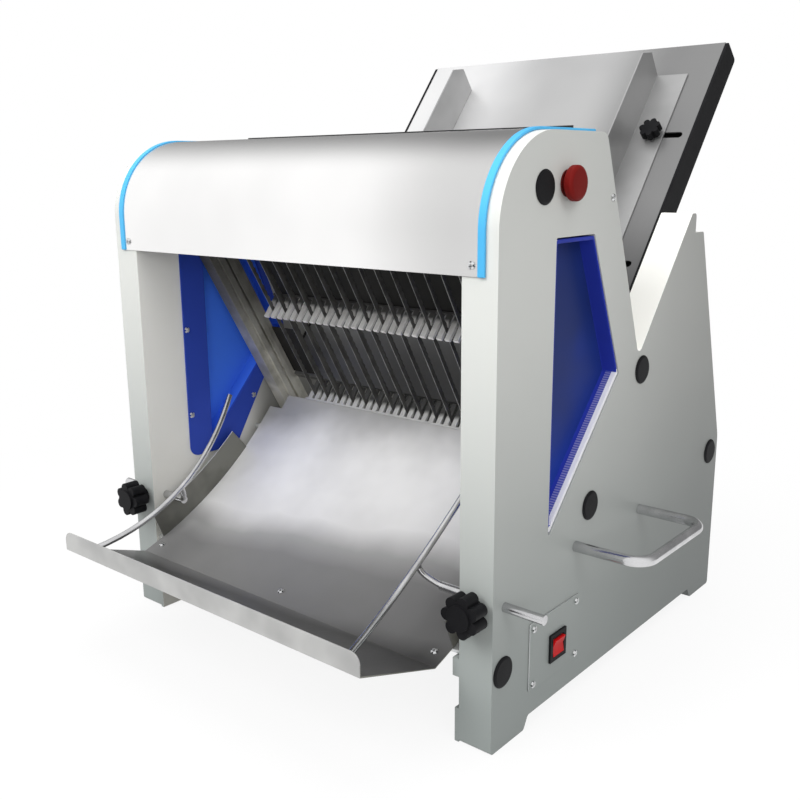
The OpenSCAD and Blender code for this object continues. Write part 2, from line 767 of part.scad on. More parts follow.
blade_top = top_bar + blade_seat - seat_gap;
tooth_n = floor((top_bar - low_bar - bar_h) / tooth_l);
tooth_step = (top_bar - low_bar - bar_h) / tooth_n;
module blade() rotate([90, 0, 90]) linear_extrude(blade_t) polygon(concat(
    [[-blade_w / 2, blade_top], [-blade_w / 2, blade_low], [blade_w / 2, blade_low]],
    [for (k = [0:tooth_n - 1], e = [0, 1])
        [blade_w / 2 - e * tooth_d, low_bar + bar_h + (k + e / 2) * tooth_step]],
    [[blade_w / 2, top_bar], [blade_w / 2, blade_top]]));
module blades(side) for (i = [0:blade_count - 1]) if ((i % 2 == 0) == (side < 0))
    translate([(i - (blade_count - 1) / 2) * blade_pitch - blade_t / 2, side * bar_mid, 0]) blade();
module front_blades() color(steel) seat() on_blades() blades(-1);
module rear_blades() color(steel) seat() on_blades() blades(1);

// inclined rails that guide the blade frames
module slide_rail() difference() {
    union() {
        on_blades() box(rail_x, rail_x + rail_t, -rail_half, rail_half, rail_low, rail_groove_end);
        on_blades() box(rail_x, rail_x + rail_t, -rail_half, rail_back, rail_groove_end, rail_top);
        on_blades() box(rail_x + rail_t, inner_x, -rail_half, rail_half, rail_low, rail_low + rail_pad);
    }
    on_blades() for (w = [-bar_w0 - bar_t, bar_w0])
        box(rail_x - cut, groove_x, w - slide_gap, w + bar_t + slide_gap, rail_low - cut, rail_groove_end);
    rod_x(tie_r + seat_gap, rail_x - cut, inner_x, plug_top);
}
module left_slide_rail() color(dark) seat() flip() slide_rail();
module right_slide_rail() color(dark) seat() slide_rail();

// bars across the frame and the bolts that hold them
module tie_bar(at) difference() {
    rod_x(tie_r, -inner_x, inner_x, at);
    both() rod_x(bolt_r + seat_gap, inner_x - bolt_bite, inner_x + cut, at);
}
module top_tie_bar() color(steel) seat() tie_bar(plug_top);
module rear_tie_bar() color(steel) seat() tie_bar(plug_rear);
module frame_bolts() color(dark) seat() both() for (p = [plug_top, plug_table, plug_rear]) {
    rod_x(bolt_r, inner_x - bolt_bite + seat_gap + cut, half_w - bolt_pocket + seat_gap + cut, p);
    rod_x(bolt_head_r, half_w - bolt_pocket + seat_gap, half_w - bolt_pocket + seat_gap + bolt_head_h, p);
}
module hole_plugs() color(black) seat() both() for (p = plugs)
    translate([half_w, p[0], p[1]]) rotate([0, 90, 0]) rotate_extrude()
        polygon([[0, -plug_depth], [plug_hole_r - seat_gap, -plug_depth],
            [plug_hole_r - seat_gap, seat_gap / 2], [plug_r, seat_gap / 2], [plug_r, plug_rim],
            [plug_hole_r, plug_dome], [0, plug_dome + seat_gap]]);

// drive: eccentrics at half a turn to each other, rods, bearings, pulleys, belt and motor
module crankshaft() color(steel) seat() {
    rod_x(shaft_r, -inner_x + bearing_t / 4, inner_x - bearing_t / 4, [crank_y, crank_z]);
    on_blades() both() for (k = [[front_rod_x, -throw], [rear_rod_x, throw]])
        translate([k[0], k[1], crank_u]) rotate([0, 90, 0]) cylinder(r = eccentric_r, h = rod_t);
}
module rods(x0, side) on_blades() both() prism(x0, x0 + rod_t) {
    big = [side * throw, crank_u];
    small = [side * bar_mid, eye_u];
    dir = unit(small - big);
    wide = [dir[1], -dir[0]] * eye_r / 2;
    foot = big + dir * (eccentric_r + rod_ring / 2);
    neck = small - dir * eye_r * 3 / 4;
    difference() {
        union() {
            translate(big) circle(eccentric_r + rod_ring);
            translate(small) circle(eye_r);
            polygon([foot - wide, foot + wide, neck + wide, neck - wide]);
        }
        translate(big) circle(eccentric_r + run_gap);
        translate(small) circle(pin_r + run_gap);
    }
}
module front_rods() color(dark) seat() rods(front_rod_x, -1);
module rear_rods() color(dark) seat() rods(rear_rod_x, 1);
module bearing_block() difference() {
    union() {
        rod_x(bearing_r, inner_x - bearing_t, inner_x, [crank_y, crank_z]);
        box(inner_x - bearing_t / 2, inner_x, crank_y - bearing_r, crank_y + bearing_r,
            base_z + base_t, crank_z);
    }
    rod_x(shaft_r + run_gap, inner_x - bearing_t - cut, inner_x + cut, [crank_y, crank_z]);
}
module left_bearing_block() color(dark) seat() flip() bearing_block();
module right_bearing_block() color(dark) seat() bearing_block();
module grooved(r, hub_r) rotate_extrude() polygon([[hub_r, 0], [r + rim, 0], [r + rim, rim],
    [r - belt_t, rim + belt_slope], [r - belt_t, pulley_t - rim - belt_slope],
    [r + rim, pulley_t - rim], [r + rim, pulley_t], [hub_r, pulley_t]]);
module crank_pulley() color(dark) seat() translate([pulley_x, crank_y, crank_z]) rotate([0, 90, 0])
    grooved(crank_pulley_r, shaft_r + seat_gap / 2);
module motor_pulley() color(dark) seat() {
    translate([pulley_x, motor_y, motor_z]) rotate([0, 90, 0]) grooved(motor_pulley_r, motor_shaft_r - cut);
    rod_x(motor_shaft_r, motor_x1 - motor_bore_l + cut, pulley_x + pulley_t, [motor_y, motor_z]);
}
belt_d = norm([motor_y - crank_y, motor_z - crank_z]);
belt_lift = asin((crank_pulley_r - motor_pulley_r) / belt_d);
belt_in = belt_t - slide_gap * 2;
belt_steps = 24;
function arc(c, r, a0, a1) =
    [for (i = [0:belt_steps]) let (a = a0 + (a1 - a0) * i / belt_steps) c + r * [cos(a), sin(a)]];
belt_a = 90 - belt_lift;
function belt_line(d) = concat(arc([0, 0], crank_pulley_r - d, belt_a, 360 - belt_a),
    arc([belt_d, 0], motor_pulley_r - d, -belt_a, belt_a));
module drive_belt() color(black) seat() translate([pulley_x + (pulley_t - belt_w) / 2, crank_y, crank_z])
    rotate([atan2(motor_z - crank_z, motor_y - crank_y), 0, 0])
    rotate([90, 0, 90]) linear_extrude(belt_w) difference() {
        polygon(belt_line(0));
        polygon(belt_line(belt_in));
    }
module motor() color(dark) seat() difference() {
    union() {
        rod_x(motor_r, motor_x0, motor_x1, [motor_y, motor_z]);
        rod_x(motor_r - fan_gap, motor_x0 - fan_l, motor_x0, [motor_y, motor_z]);
        for (x = [motor_x0, motor_x1 - foot_pad_l])
            box(x, x + foot_pad_l, motor_y - foot_pad_w / 2, motor_y + foot_pad_w / 2,
                base_z + base_t, motor_z - motor_r / 2);
        box(motor_x0 + foot_pad_l, motor_x0 + foot_pad_l + box_l, motor_y - box_l / 2, motor_y + box_l / 2,
            motor_z, motor_z + motor_r + box_h);
    }
    rod_x(motor_shaft_r + run_gap, motor_x1 - motor_bore_l, motor_x1 + cut, [motor_y, motor_z]);
}

// floor of the drive space and the sheets before and behind it
module base_plate() color(paint) seat()
    box(-inner_x, inner_x, base_y, rear_in, base_z, base_z + base_t);
guard_top_z = arc_z - sqrt(pow(tray_r + sheet_t, 2) - pow(base_y - arc_y, 2)) - sheet_t;
module front_guard() color(paint) seat()
    box(-inner_x, inner_x, base_y, base_y + sheet_t, base_z + base_t, guard_top_z);
module rear_cover() color(paint) seat() difference() {
    box(-inner_x, inner_x, rear_in, rear_face, base_z, rear_top_z);
    both() for (k = [0:vent_n - 1])
        box(vent_l, vent_l * 2, panel_d - rear_gap * 2, panel_d,
            vent_z + k * vent_step, vent_z + k * vent_step + vent_h);
    rod_y(gland_r + seat_gap, panel_d - rear_gap * 2, panel_d, gland_x, gland_z);
}
module cable_gland() color(black) seat() difference() {
    union() {
        rod_y(gland_r, rear_in - gland_l, rear_face + seat_gap + gland_l / 4, gland_x, gland_z);
        rod_y(gland_nut_r, rear_face + seat_gap, rear_face + seat_gap + gland_l / 4, gland_x, gland_z);
        rod_y(gland_nut_r, rear_in - seat_gap - gland_l / 3, rear_in - seat_gap, gland_x, gland_z);
    }
    rod_y(gland_bore, rear_face - gland_l * 2, panel_d + gland_l, gland_x, gland_z);
}

// switch plate with its rocker, and the mushroom stop button
module switch_plate() color(steel) seat() difference() {
    prism(half_w + seat_gap, half_w + seat_gap + plate_t)
        translate([plate_y - plate_w / 2, plate_z - plate_h / 2])
        polygon(rounded([[0, 0], [plate_w, 0], [plate_w, plate_h], [0, plate_h]], plate_r));
    box(half_w - cut, half_w + plate_t + cut,
        switch_y0 + bezel_t - seat_gap, switch_y1 - bezel_t + seat_gap,
        switch_z0 + bezel_t - seat_gap, switch_z1 - bezel_t + seat_gap);
}
bezel_x = half_w + seat_gap * 2 + plate_t;
module switch_bezel() color(black) seat() difference() {
    union() {
        box(bezel_x, bezel_x + bezel_t, switch_y0, switch_y1, switch_z0, switch_z1);
        box(half_w - bezel_deep, bezel_x + cut,
            switch_y0 + bezel_t + seat_gap, switch_y1 - bezel_t - seat_gap,
            switch_z0 + bezel_t + seat_gap, switch_z1 - bezel_t - seat_gap);
    }
    box(half_w - bezel_deep + bezel_t, bezel_x + bezel_t + cut,
        switch_y0 + bezel_wall, switch_y1 - bezel_wall, switch_z0 + bezel_wall, switch_z1 - bezel_wall);
    rod_y(rocker_pin_r + run_gap, switch_y0 + bezel_wall - rocker_pin_l,
        switch_y1 - bezel_wall + rocker_pin_l, bezel_x - rocker_back, switch_z);
}
module rocker_switch() color(red) seat()
    translate([bezel_x - rocker_back, switch_y, switch_z]) rotate([0, rocker_tilt, 0]) {
    w = bezel_w / 2 - bezel_wall - rocker_gap;
    h = bezel_h / 2 - bezel_wall - rocker_gap * 3;
    translate([0, w, 0]) rotate([90, 0, 0]) linear_extrude(w * 2)
        polygon([[-rocker_deep, -h / 2], [rocker_back, -h], [rocker_back + rocker_high, -h],
            [rocker_back + rocker_low, 0], [rocker_back + rocker_high, h], [rocker_back, h],
            [-rocker_deep, h / 2]]);
    pin_end = w + rocker_gap + rocker_pin_l - seat_gap;
    rod_y(rocker_pin_r, -pin_end, pin_end, 0, 0);
}
module emergency_stop() color(red) seat()
    translate([half_w, stop_y, stop_z]) rotate([0, 90, 0]) rotate_extrude()
    polygon([[0, -stop_deep], [stop_neck_r, -stop_deep], [stop_neck_r, stop_lift], [stop_r, stop_lift],
        [stop_r, stop_lift + stop_head - stop_round], [stop_r - stop_round, stop_lift + stop_head - cut],
        [0, stop_lift + stop_head]]);
module emergency_stop_collar() color(black) seat() difference() {
    rod_x(stop_collar_r, half_w + seat_gap / 2, half_w + stop_collar_t, [stop_y, stop_z]);
    rod_x(stop_neck_r + slide_gap, half_w - cut, half_w + stop_collar_t + cut, [stop_y, stop_z]);
}

// carry handles of bent round bar
module carry_handle() {
    l = handle_l / 2;
    translate([half_w, handle_y, handle_z]) {
        for (m = [0, 1]) mirror([0, m, 0]) {
            translate([0, l, 0]) rotate([0, 90, 0]) cylinder(r = handle_r, h = handle_reach - handle_bend);
            translate([handle_reach - handle_bend, l - handle_bend, 0]) rotate_extrude(angle = 90)
                translate([handle_bend, 0]) circle(handle_r);
        }
        translate([handle_reach, -l + handle_bend, 0]) rotate([-90, 0, 0])
            cylinder(r = handle_r, h = handle_l - handle_bend * 2);
    }
}
module left_carry_handle() color(chrome) seat() flip() carry_handle();
module right_carry_handle() color(chrome) seat() carry_handle();

// small pan-head screws of the sheets and plates
module screw() rotate_extrude() polygon([[0, 0], [screw_r, 0], [screw_r * 3 / 4, screw_h], [0, screw_h]]);
module panel_screws() color(chrome) seat() {
    both() translate([cover_half - screw_in, -seat_gap * 2 - sheet_t, cover_z + screw_in * 3 / 2])
        rotate([90, 0, 0]) screw();
    both() translate([half_w + seat_gap / 2, panel_screw[0], panel_screw[1]]) rotate([0, 90, 0]) screw();
    for (y = [-1, 1], z = [-1, 1])
        translate([half_w + seat_gap * 2 + plate_t, plate_y + y * (plate_w / 2 - screw_in),
            plate_z + z * (plate_h / 2 - screw_in)])
            rotate([0, 90, 0]) screw();
    both() for (p = window_screws)
        translate([inner_x - plate_flange_t - seat_gap / 2, p[0], p[1]]) rotate([0, -90, 0]) screw();
    for (x = [-tray_half + screw_in * 2, 0, tray_half - screw_in * 2])
        translate([x, arc_y + (tray_r - seat_gap) * sin(screw_a),
            arc_z - (tray_r - seat_gap) * cos(screw_a)])
            rotate([screw_a, 0, 0]) screw();
}

left_side_panel();
right_side_panel();
left_window_panel();
right_window_panel();
panel_screws();
top_cover();
left_cover_trim();
right_cover_trim();
infeed_guard();
delivery_tray();
tray_cross_bar();
tray_support_rod();
lower_comb();
upper_comb();
comb_guard();
infeed_table();
left_table_edge();
right_table_edge();
left_infeed_guide();
right_infeed_guide();
left_guide_knob();
right_guide_knob();
left_guide_nut();
right_guide_nut();
left_slice_rod();
right_slice_rod();
left_star_knob();
right_star_knob();
front_blade_frame();
rear_blade_frame();
front_blades();
rear_blades();
left_slide_rail();
right_slide_rail();
top_tie_bar();
rear_tie_bar();
frame_bolts();
hole_plugs();
crankshaft();
crank_pulley();
front_rods();
rear_rods();
left_bearing_block();
right_bearing_block();
drive_belt();
motor();
motor_pulley();
base_plate();
front_guard();
rear_cover();
cable_gland();
switch_plate();
switch_bezel();
rocker_switch();
emergency_stop();
emergency_stop_collar();
left_carry_handle();
right_carry_handle();
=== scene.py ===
import json
import math

import bmesh
import bpy
from mathutils import Matrix, Vector


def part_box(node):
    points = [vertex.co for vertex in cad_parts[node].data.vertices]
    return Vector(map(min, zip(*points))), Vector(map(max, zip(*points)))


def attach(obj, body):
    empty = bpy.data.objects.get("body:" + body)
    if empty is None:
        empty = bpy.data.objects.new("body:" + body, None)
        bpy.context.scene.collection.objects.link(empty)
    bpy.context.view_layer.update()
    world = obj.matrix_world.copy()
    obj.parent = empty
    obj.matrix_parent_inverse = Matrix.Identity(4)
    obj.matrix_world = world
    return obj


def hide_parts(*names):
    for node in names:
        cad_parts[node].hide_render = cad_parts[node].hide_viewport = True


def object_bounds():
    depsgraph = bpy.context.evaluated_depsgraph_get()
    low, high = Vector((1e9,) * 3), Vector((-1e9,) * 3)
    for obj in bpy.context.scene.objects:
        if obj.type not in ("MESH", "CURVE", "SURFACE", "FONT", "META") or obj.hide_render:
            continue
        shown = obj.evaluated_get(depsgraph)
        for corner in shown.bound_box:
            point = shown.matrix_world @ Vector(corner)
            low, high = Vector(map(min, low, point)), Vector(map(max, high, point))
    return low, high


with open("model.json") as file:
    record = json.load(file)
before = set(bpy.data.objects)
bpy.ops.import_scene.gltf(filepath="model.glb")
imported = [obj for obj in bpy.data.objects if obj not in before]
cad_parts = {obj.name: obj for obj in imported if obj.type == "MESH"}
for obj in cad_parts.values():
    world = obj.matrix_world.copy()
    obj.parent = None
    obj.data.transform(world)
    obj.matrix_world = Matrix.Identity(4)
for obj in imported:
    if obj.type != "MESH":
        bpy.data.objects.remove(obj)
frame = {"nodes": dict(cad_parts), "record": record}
nodes = frame["nodes"]
record = frame["record"]
bodyOf = {n: body for body, members in record["behaviour"]["bodies"].items() for n in members}
cadLow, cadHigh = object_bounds()
mm = 0.001
sides = ("left", "right")
acrossAxis, depthAxis, upAxis = range(3)


# a shader socket that can be added, taken away and multiplied
class Shade:
    def __init__(self, tree, output=None):
        self.tree, self.output = tree, output

    def node(self, kind, settings={}, inputs={}, out=0):
        made = self.tree.nodes.new(kind)
        for key, value in settings.items():
            setattr(made, key, value)
        for key, value in inputs.items():
            if isinstance(value, Shade):
                self.tree.links.new(value.output, made.inputs[key])
            else:
                made.inputs[key].default_value = value
        return Shade(self.tree, made.outputs[out] if made.outputs else None)

    def sum(self, operation, first, second=0.0):
        return self.node("ShaderNodeMath", {"operation": operation}, {0: first, 1: second})

    def __add__(self, other):
        return self.sum("ADD", self, other)

    def __sub__(self, other):
        return self.sum("SUBTRACT", self, other)

    def __mul__(self, other):
        return self.sum("MULTIPLY", self, other)

    __radd__ = __add__


firstColour, secondColour, mixedColour = 6, 7, 2  # colour sockets of a mix node
waveHeight, vectorLength = 1, 1  # the second outputs of these nodes are numbers
black, white = (0, 0, 0), (1, 1, 1)


def mixed(shade, amount, first, second):
    colours = {key: value if isinstance(value, Shade) else (*value, 1)
        for key, value in ((firstColour, first), (secondColour, second))}
    return shade.node("ShaderNodeMix", {"data_type": "RGBA"}, {0: amount, **colours}, out=mixedColour)


def noise(shade, where, scale, detail, rough=0.5):
    return shade.node("ShaderNodeTexNoise", {},
        {"Vector": where, "Scale": scale, "Detail": detail, "Roughness": rough})


def stretched(shade, where, scale):
    return shade.node("ShaderNodeMapping", {}, {"Vector": where, "Scale": scale})


def between(shade, value, low, high, first=0.0, second=1.0):
    return shade.node("ShaderNodeMapRange", {"interpolation_type": "SMOOTHSTEP"},
        {"Value": value, "From Min": low, "From Max": high, "To Min": first, "To Max": second})


def bumped(shade, height, strength, distance):
    return shade.node("ShaderNodeBump", {},
        {"Height": height, "Strength": strength, "Distance": distance})


def axisOf(shade, where, axis):
    return shade.node("ShaderNodeSeparateXYZ", {}, {0: where}, out=axis)


# each band of painted light and shade: axis, where the tone starts and ends to change, share of it that
# is left
def paintLightAndShade(shade, where, tone, lightAndShadeBands):
    level = None
    for axis, low, high, share in lightAndShadeBands:
        step = between(shade, axisOf(shade, where, axis), low, high, 1.0, share)
        level = step if level is None else level * step
    return tone if level is None else mixed(shade, level, black, tone)


# painted reflection as a ramp of tones; each stop: place between start and end, share of the tone
def paintReflection(shade, tone, place, look):
    share = shade.node("ShaderNodeMapRange", {},
        {"Value": place, "From Min": look["start"], "From Max": look["end"]})
    fade = shade.node("ShaderNodeValToRGB", {}, {0: share})
    ramp = fade.output.node.color_ramp
    while len(ramp.elements) < len(look["reflectionStops"]):
        ramp.elements.new(1)
    for element, (stop, level) in zip(ramp.elements, look["reflectionStops"]):
        element.position, element.color = stop, (level, level, level, 1)
    return shade.node("ShaderNodeMix", {"data_type": "RGBA", "blend_type": "MULTIPLY"},
        {0: 1.0, firstColour: tone, secondColour: fade}, out=mixedColour)


def startMaterial(name):
    material = bpy.data.materials.new(name)
    material.use_nodes = True
    material.node_tree.nodes.clear()
    shade = Shade(material.node_tree)
    return material, shade, shade.node("ShaderNodeTexCoord", out="Object")


def closeMaterial(material, shade, inputs):
    surface = shade.node("ShaderNodeBsdfPrincipled", {}, inputs)
    shade.node("ShaderNodeOutputMaterial", {}, {"Surface": surface})
    return material


# painted metal with a fine orange peel, its tone darker towards the foot as painted shade
peelLook = {"detail": 2, "rough": 0.4, "deep": 0.0004}
paintLook = {"cloudDetail": 2, "coatRough": 0.3, "shine": 0.4}


def peelOf(shade, where, look):
    return noise(shade, where, look["peel"], peelLook["detail"], peelLook["rough"])


def paintFinish(name, look):
    material, shade, where = startMaterial(name)
    cloud = noise(shade, where, look["cloud"], paintLook["cloudDetail"])
    peel = peelOf(shade, where, look)
    # painted shade: the tone goes from the dark foot up to the light head
    height = between(shade, axisOf(shade, where, upAxis), look["low"], look["high"])
    tone = mixed(shade, height, look["foot"], look["head"])
    tone = mixed(shade, cloud * look["mottle"], tone, look["shadow"])
    return closeMaterial(material, shade, {
        "Base Color": paintLightAndShade(shade, where, tone, look["lightAndShadeBands"]),
        "Roughness": look["gloss"] + cloud * look["drift"],
        "Coat Weight": look["coat"], "Coat Roughness": paintLook["coatRough"],
        "Specular IOR Level": paintLook["shine"],
        "Normal": bumped(shade, peel, look["grain"], peelLook["deep"])})


# blue window plate: on the inner side a lit copy of the blue, painted light, its flange darker as
# painted shade; outside a deeper blue, lighter towards the bottom as painted light
plateLook = {"cloudDetail": 2, "cloudLow": 0.38, "cloudHigh": 0.66, "cloudShare": 0.4, "footShare": 0.6,
    "shine": 0.1}


def plateFinish(name, look):
    material, shade, where = startMaterial(name)
    cloud = noise(shade, where, look["cloud"], plateLook["cloudDetail"])
    cloud = between(shade, cloud, plateLook["cloudLow"], plateLook["cloudHigh"])
    peel = peelOf(shade, where, look)
    side = shade.sum("ABSOLUTE", axisOf(shade, where, acrossAxis))
    # painted light: the outer blue is lighter towards the bottom
    foot = between(shade, axisOf(shade, where, upAxis), look["low"], look["high"],
        plateLook["footShare"], 0.0)
    outer = mixed(shade, cloud * plateLook["cloudShare"] + foot, look["outerDeep"], look["outerPale"])
    onFloor = between(shade, side, look["flangeEnd"], look["floorStart"])
    inner = mixed(shade, onFloor, look["flange"], look["inner"])
    outside = between(shade, side, look["floorInside"], look["floorOutside"])
    return closeMaterial(material, shade, {
        "Base Color": mixed(shade, outside, inner, outer),
        "Roughness": look["gloss"] + cloud * look["drift"],
        "Specular IOR Level": plateLook["shine"],
        "Normal": bumped(shade, peel, look["grain"], peelLook["deep"])})


def hatchFinish(name, look):
    material, shade, where = startMaterial(name)
    peel = peelOf(shade, where, look)
    wave = shade.node("ShaderNodeTexWave", {"wave_type": "BANDS", "bands_direction": "Z"},
        {"Vector": where, "Scale": look["lines"], "Distortion": look["waver"],
            "Detail": look["detail"]}, out=waveHeight)
    return closeMaterial(material, shade, {
        "Base Color": mixed(shade, wave, look["blue"], look["pale"]),
        "Roughness": look["gloss"] + peel * look["drift"],
        "Specular IOR Level": look["shine"],
        "Normal": bumped(shade, wave + peel * look["peelShare"], look["grain"], peelLook["deep"])})


# brushed steel: fine lines along one axis over soft clouds
brushLook = {"lineDetail": 4, "lineRough": 0.7, "cloudDetail": 3, "cloudRough": 0.55, "cloudLow": 0.35,
    "cloudHigh": 0.7, "cloudMiddle": 0.5, "deep": 0.0002}


def brushedFinish(name, look):
    material, shade, where = startMaterial(name)
    lines = noise(shade, stretched(shade, where, look["brush"]), 1, brushLook["lineDetail"],
        brushLook["lineRough"])
    cloud = noise(shade, where, look["cloud"], brushLook["cloudDetail"], brushLook["cloudRough"])
    patches = between(shade, cloud, brushLook["cloudLow"], brushLook["cloudHigh"])
    tone = mixed(shade, patches, look["pale"], look["deep"])
    tone = paintLightAndShade(shade, where, tone, look.get("lightAndShadeBands", []))
    # painted reflection: tones ramped along one axis, slanted and wandering
    if "reflectionStops" in look:
        slanted = axisOf(shade, where, acrossAxis) * look["tilt"]
        wandering = (cloud - brushLook["cloudMiddle"]) * look["wander"]
        tone = paintReflection(shade, tone, axisOf(shade, where, look["along"]) + slanted + wandering, look)
    return closeMaterial(material, shade, {
        "Base Color": tone, "Metallic": look["metal"],
        "Roughness": look["gloss"] + lines * look["drift"] + cloud * look["drift"],
        "Normal": bumped(shade, lines, look["grain"], brushLook["deep"])})


# moulded plastic and rubber
mouldLook = {"grainDetail": 3, "grainRough": 0.6, "cloudDetail": 2, "coatRough": 0.2, "deep": 0.0003}


def plasticFinish(name, look):
    material, shade, where = startMaterial(name)
    grain = noise(shade, where, look["grain"], mouldLook["grainDetail"], mouldLook["grainRough"])
    cloud = noise(shade, where, look["cloud"], mouldLook["cloudDetail"])
    return closeMaterial(material, shade, {
        "Base Color": mixed(shade, cloud, look["pale"], look["deep"]),
        "Roughness": look["gloss"] + grain * look["drift"],
        "Coat Weight": look["coat"], "Coat Roughness": mouldLook["coatRough"],
        "Specular IOR Level": look["shine"],
        "Normal": bumped(shade, grain, look["bump"], mouldLook["deep"])})


# pieces start from a merged copy of the frame's own solids
meshLook = {"merge": 0.00002, "flat": 0.5, "smooth": 35, "profile": 0.5}
plainEdges = {"edge": 0.6 * mm, "segments": 2, "angle": 40}


def solidOf(node):
    shape = bmesh.new()
    shape.from_mesh(nodes[node].data)
    bmesh.ops.remove_doubles(shape, verts=shape.verts, dist=meshLook["merge"])
    bmesh.ops.dissolve_limit(shape, angle_limit=math.radians(meshLook["flat"]), verts=shape.verts,
        edges=shape.edges)
    return shape


def roundEdges(shape, edges, width, segments):
    bmesh.ops.bevel(shape, geom=edges, offset=width, offset_type="OFFSET", affect="EDGES",
        segments=segments, profile=meshLook["profile"], material=-1, clamp_overlap=True)


def roundSharp(shape, look):
    look = {**plainEdges, **look}
    least = math.radians(look["angle"])
    sharp = [e for e in shape.edges if len(e.link_faces) == 2 and e.calc_face_angle(0) > least]
    roundEdges(shape, sharp, look["edge"], look["segments"])


def allOf(shape):
    return [*shape.verts, *shape.edges, *shape.faces]


def vertsIn(made):
    return [v for v in made["geom"] if isinstance(v, bmesh.types.BMVert)]


def pieceFrom(shape, name, node, materials, hides=True, smoothAngle=meshLook["smooth"]):
    mesh = bpy.data.meshes.new(name)
    shape.to_mesh(mesh)
    shape.free()
    for material in materials:
        mesh.materials.append(material)
    mesh.shade_smooth()
    mesh.set_sharp_from_angle(angle=math.radians(smoothAngle))
    piece = bpy.data.objects.new(name, mesh)
    bpy.context.scene.collection.objects.link(piece)
    flatten = piece.modifiers.new("flatFaces", "WEIGHTED_NORMAL")
    flatten.keep_sharp = True
    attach(piece, bodyOf[node])
    if hides:
        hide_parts(node)
    return piece


def dress(node, material, look):
    shape = solidOf(node)
    roundSharp(shape, look)
    return pieceFrom(shape, node + "_look", node, [material])


# side panels: outside, one paint darker towards the foot and the rear, painted shade; inside and on the
# top of the rear wing, lit copies of it, painted light
panelLook = {"edge": 2.6 * mm, "segments": 3, "angle": 50, "innerSide": 0.8, "wingFrom": 0.03,
    "wingUp": 0.3, "wingAcross": 0.5}
shadedPanelPaintLook = {"cloud": 9, "peel": 900, "low": 0.0, "high": 0.5, "foot": (0.29, 0.32, 0.31),
    "head": (0.72, 0.73, 0.70), "shadow": (0.46, 0.49, 0.48), "mottle": 0.15, "gloss": 0.42,
    "drift": 0.12, "coat": 0.15, "grain": 0.12, "lightAndShadeBands": [(1, -0.14, 0.28, 0.58)]}
litPanelPaintLook = {"cloud": 9, "peel": 900, "low": 0.0, "high": 0.4, "foot": (0.62, 0.61, 0.56),
    "head": (0.95, 0.945, 0.90), "shadow": (0.80, 0.79, 0.74), "mottle": 0.2, "gloss": 0.42,
    "drift": 0.12, "coat": 0.1, "grain": 0.12, "lightAndShadeBands": []}
# painted shade: the inner paint darkens behind the front legs, near the rails
litShadedInnerPaintLook = {**litPanelPaintLook, "lightAndShadeBands": [(1, -0.09, -0.03, 0.35), (1, 0.06, 0.12, 1.7)]}
shadedPanelPaint = paintFinish("shadedPanelPaint", shadedPanelPaintLook)
litPanelPaint = paintFinish("litPanelPaint", litPanelPaintLook)
litShadedInnerPaint = paintFinish("litShadedInnerPaint", litShadedInnerPaintLook)


def dressPanel(node):
    shape = solidOf(node)
    roundSharp(shape, panelLook)
    shape.normal_update()
    outerCoat, litShadedInnerCoat, litWingCoat = 0, 1, 2
    for face in shape.faces:
        middle, across = face.calc_center_median(), abs(face.normal.x)
        inner = face.normal.x * middle.x < 0 and across > panelLook["innerSide"]
        rising = face.normal.z > panelLook["wingUp"] and across < panelLook["wingAcross"]
        wingTop = middle.y > panelLook["wingFrom"] and rising
        face.material_index = litShadedInnerCoat if inner else litWingCoat if wingTop else outerCoat
    pieceFrom(shape, node + "_look", node, [shadedPanelPaint, litShadedInnerPaint, litPanelPaint])


# window plates: blue, with a white rim and a hatched strip along the sloping sill; the rim's white is
# partly its paint and partly a painted highlight on the edge
windowLook = {"edge": 0.7 * mm, "angle": 50, "wallFrom": 272.2 * mm, "hatchFrom": 276.5 * mm,
    "whiteFrom": 283.5 * mm, "rimDeep": 2.5 * mm, "wallTurn": 0.8, "sillTurn": 0.3}
windowBluePaintedLightLook = {"cloud": 7, "peel": 700, "low": 0.16, "high": 0.37, "outerDeep": (0.015, 0.032, 0.16),
    "outerPale": (0.022, 0.062, 0.46), "inner": (0.068, 0.22, 0.95), "flange": (0.032, 0.07, 0.44),
    "flangeEnd": 0.2503, "floorStart": 0.2515, "floorInside": 0.2708, "floorOutside": 0.2717,
    "gloss": 0.4, "drift": 0.1, "grain": 0.1}
windowWallLook = {"grain": 700, "cloud": 20, "pale": (0.028, 0.05, 0.46), "deep": (0.02, 0.038, 0.34),
    "gloss": 0.45, "drift": 0.1, "coat": 0.0, "shine": 0.2, "bump": 0.08}
windowRimHighlightLook = {"cloud": 30, "peel": 900, "low": 0.0, "high": 0.5, "foot": (0.93, 0.93, 0.96),
    "head": (0.96, 0.96, 0.98), "shadow": (0.78, 0.78, 0.82), "mottle": 0.2, "gloss": 0.4,
    "drift": 0.1, "coat": 0.1, "grain": 0.08, "lightAndShadeBands": []}
windowHatchLook = {"lines": 150, "waver": 0.6, "detail": 1.0, "blue": (0.03, 0.055, 0.42),
    "pale": (0.30, 0.30, 0.56), "peel": 700, "peelShare": 0.3, "gloss": 0.42, "drift": 0.1,
    "shine": 0.25, "grain": 0.1}
windowBluePaintedLight = plateFinish("windowBluePaintedLight", windowBluePaintedLightLook)
windowWall = plasticFinish("windowWall", windowWallLook)
windowRimHighlight = paintFinish("windowRimHighlight", windowRimHighlightLook)
windowHatch = hatchFinish("windowHatch", windowHatchLook)


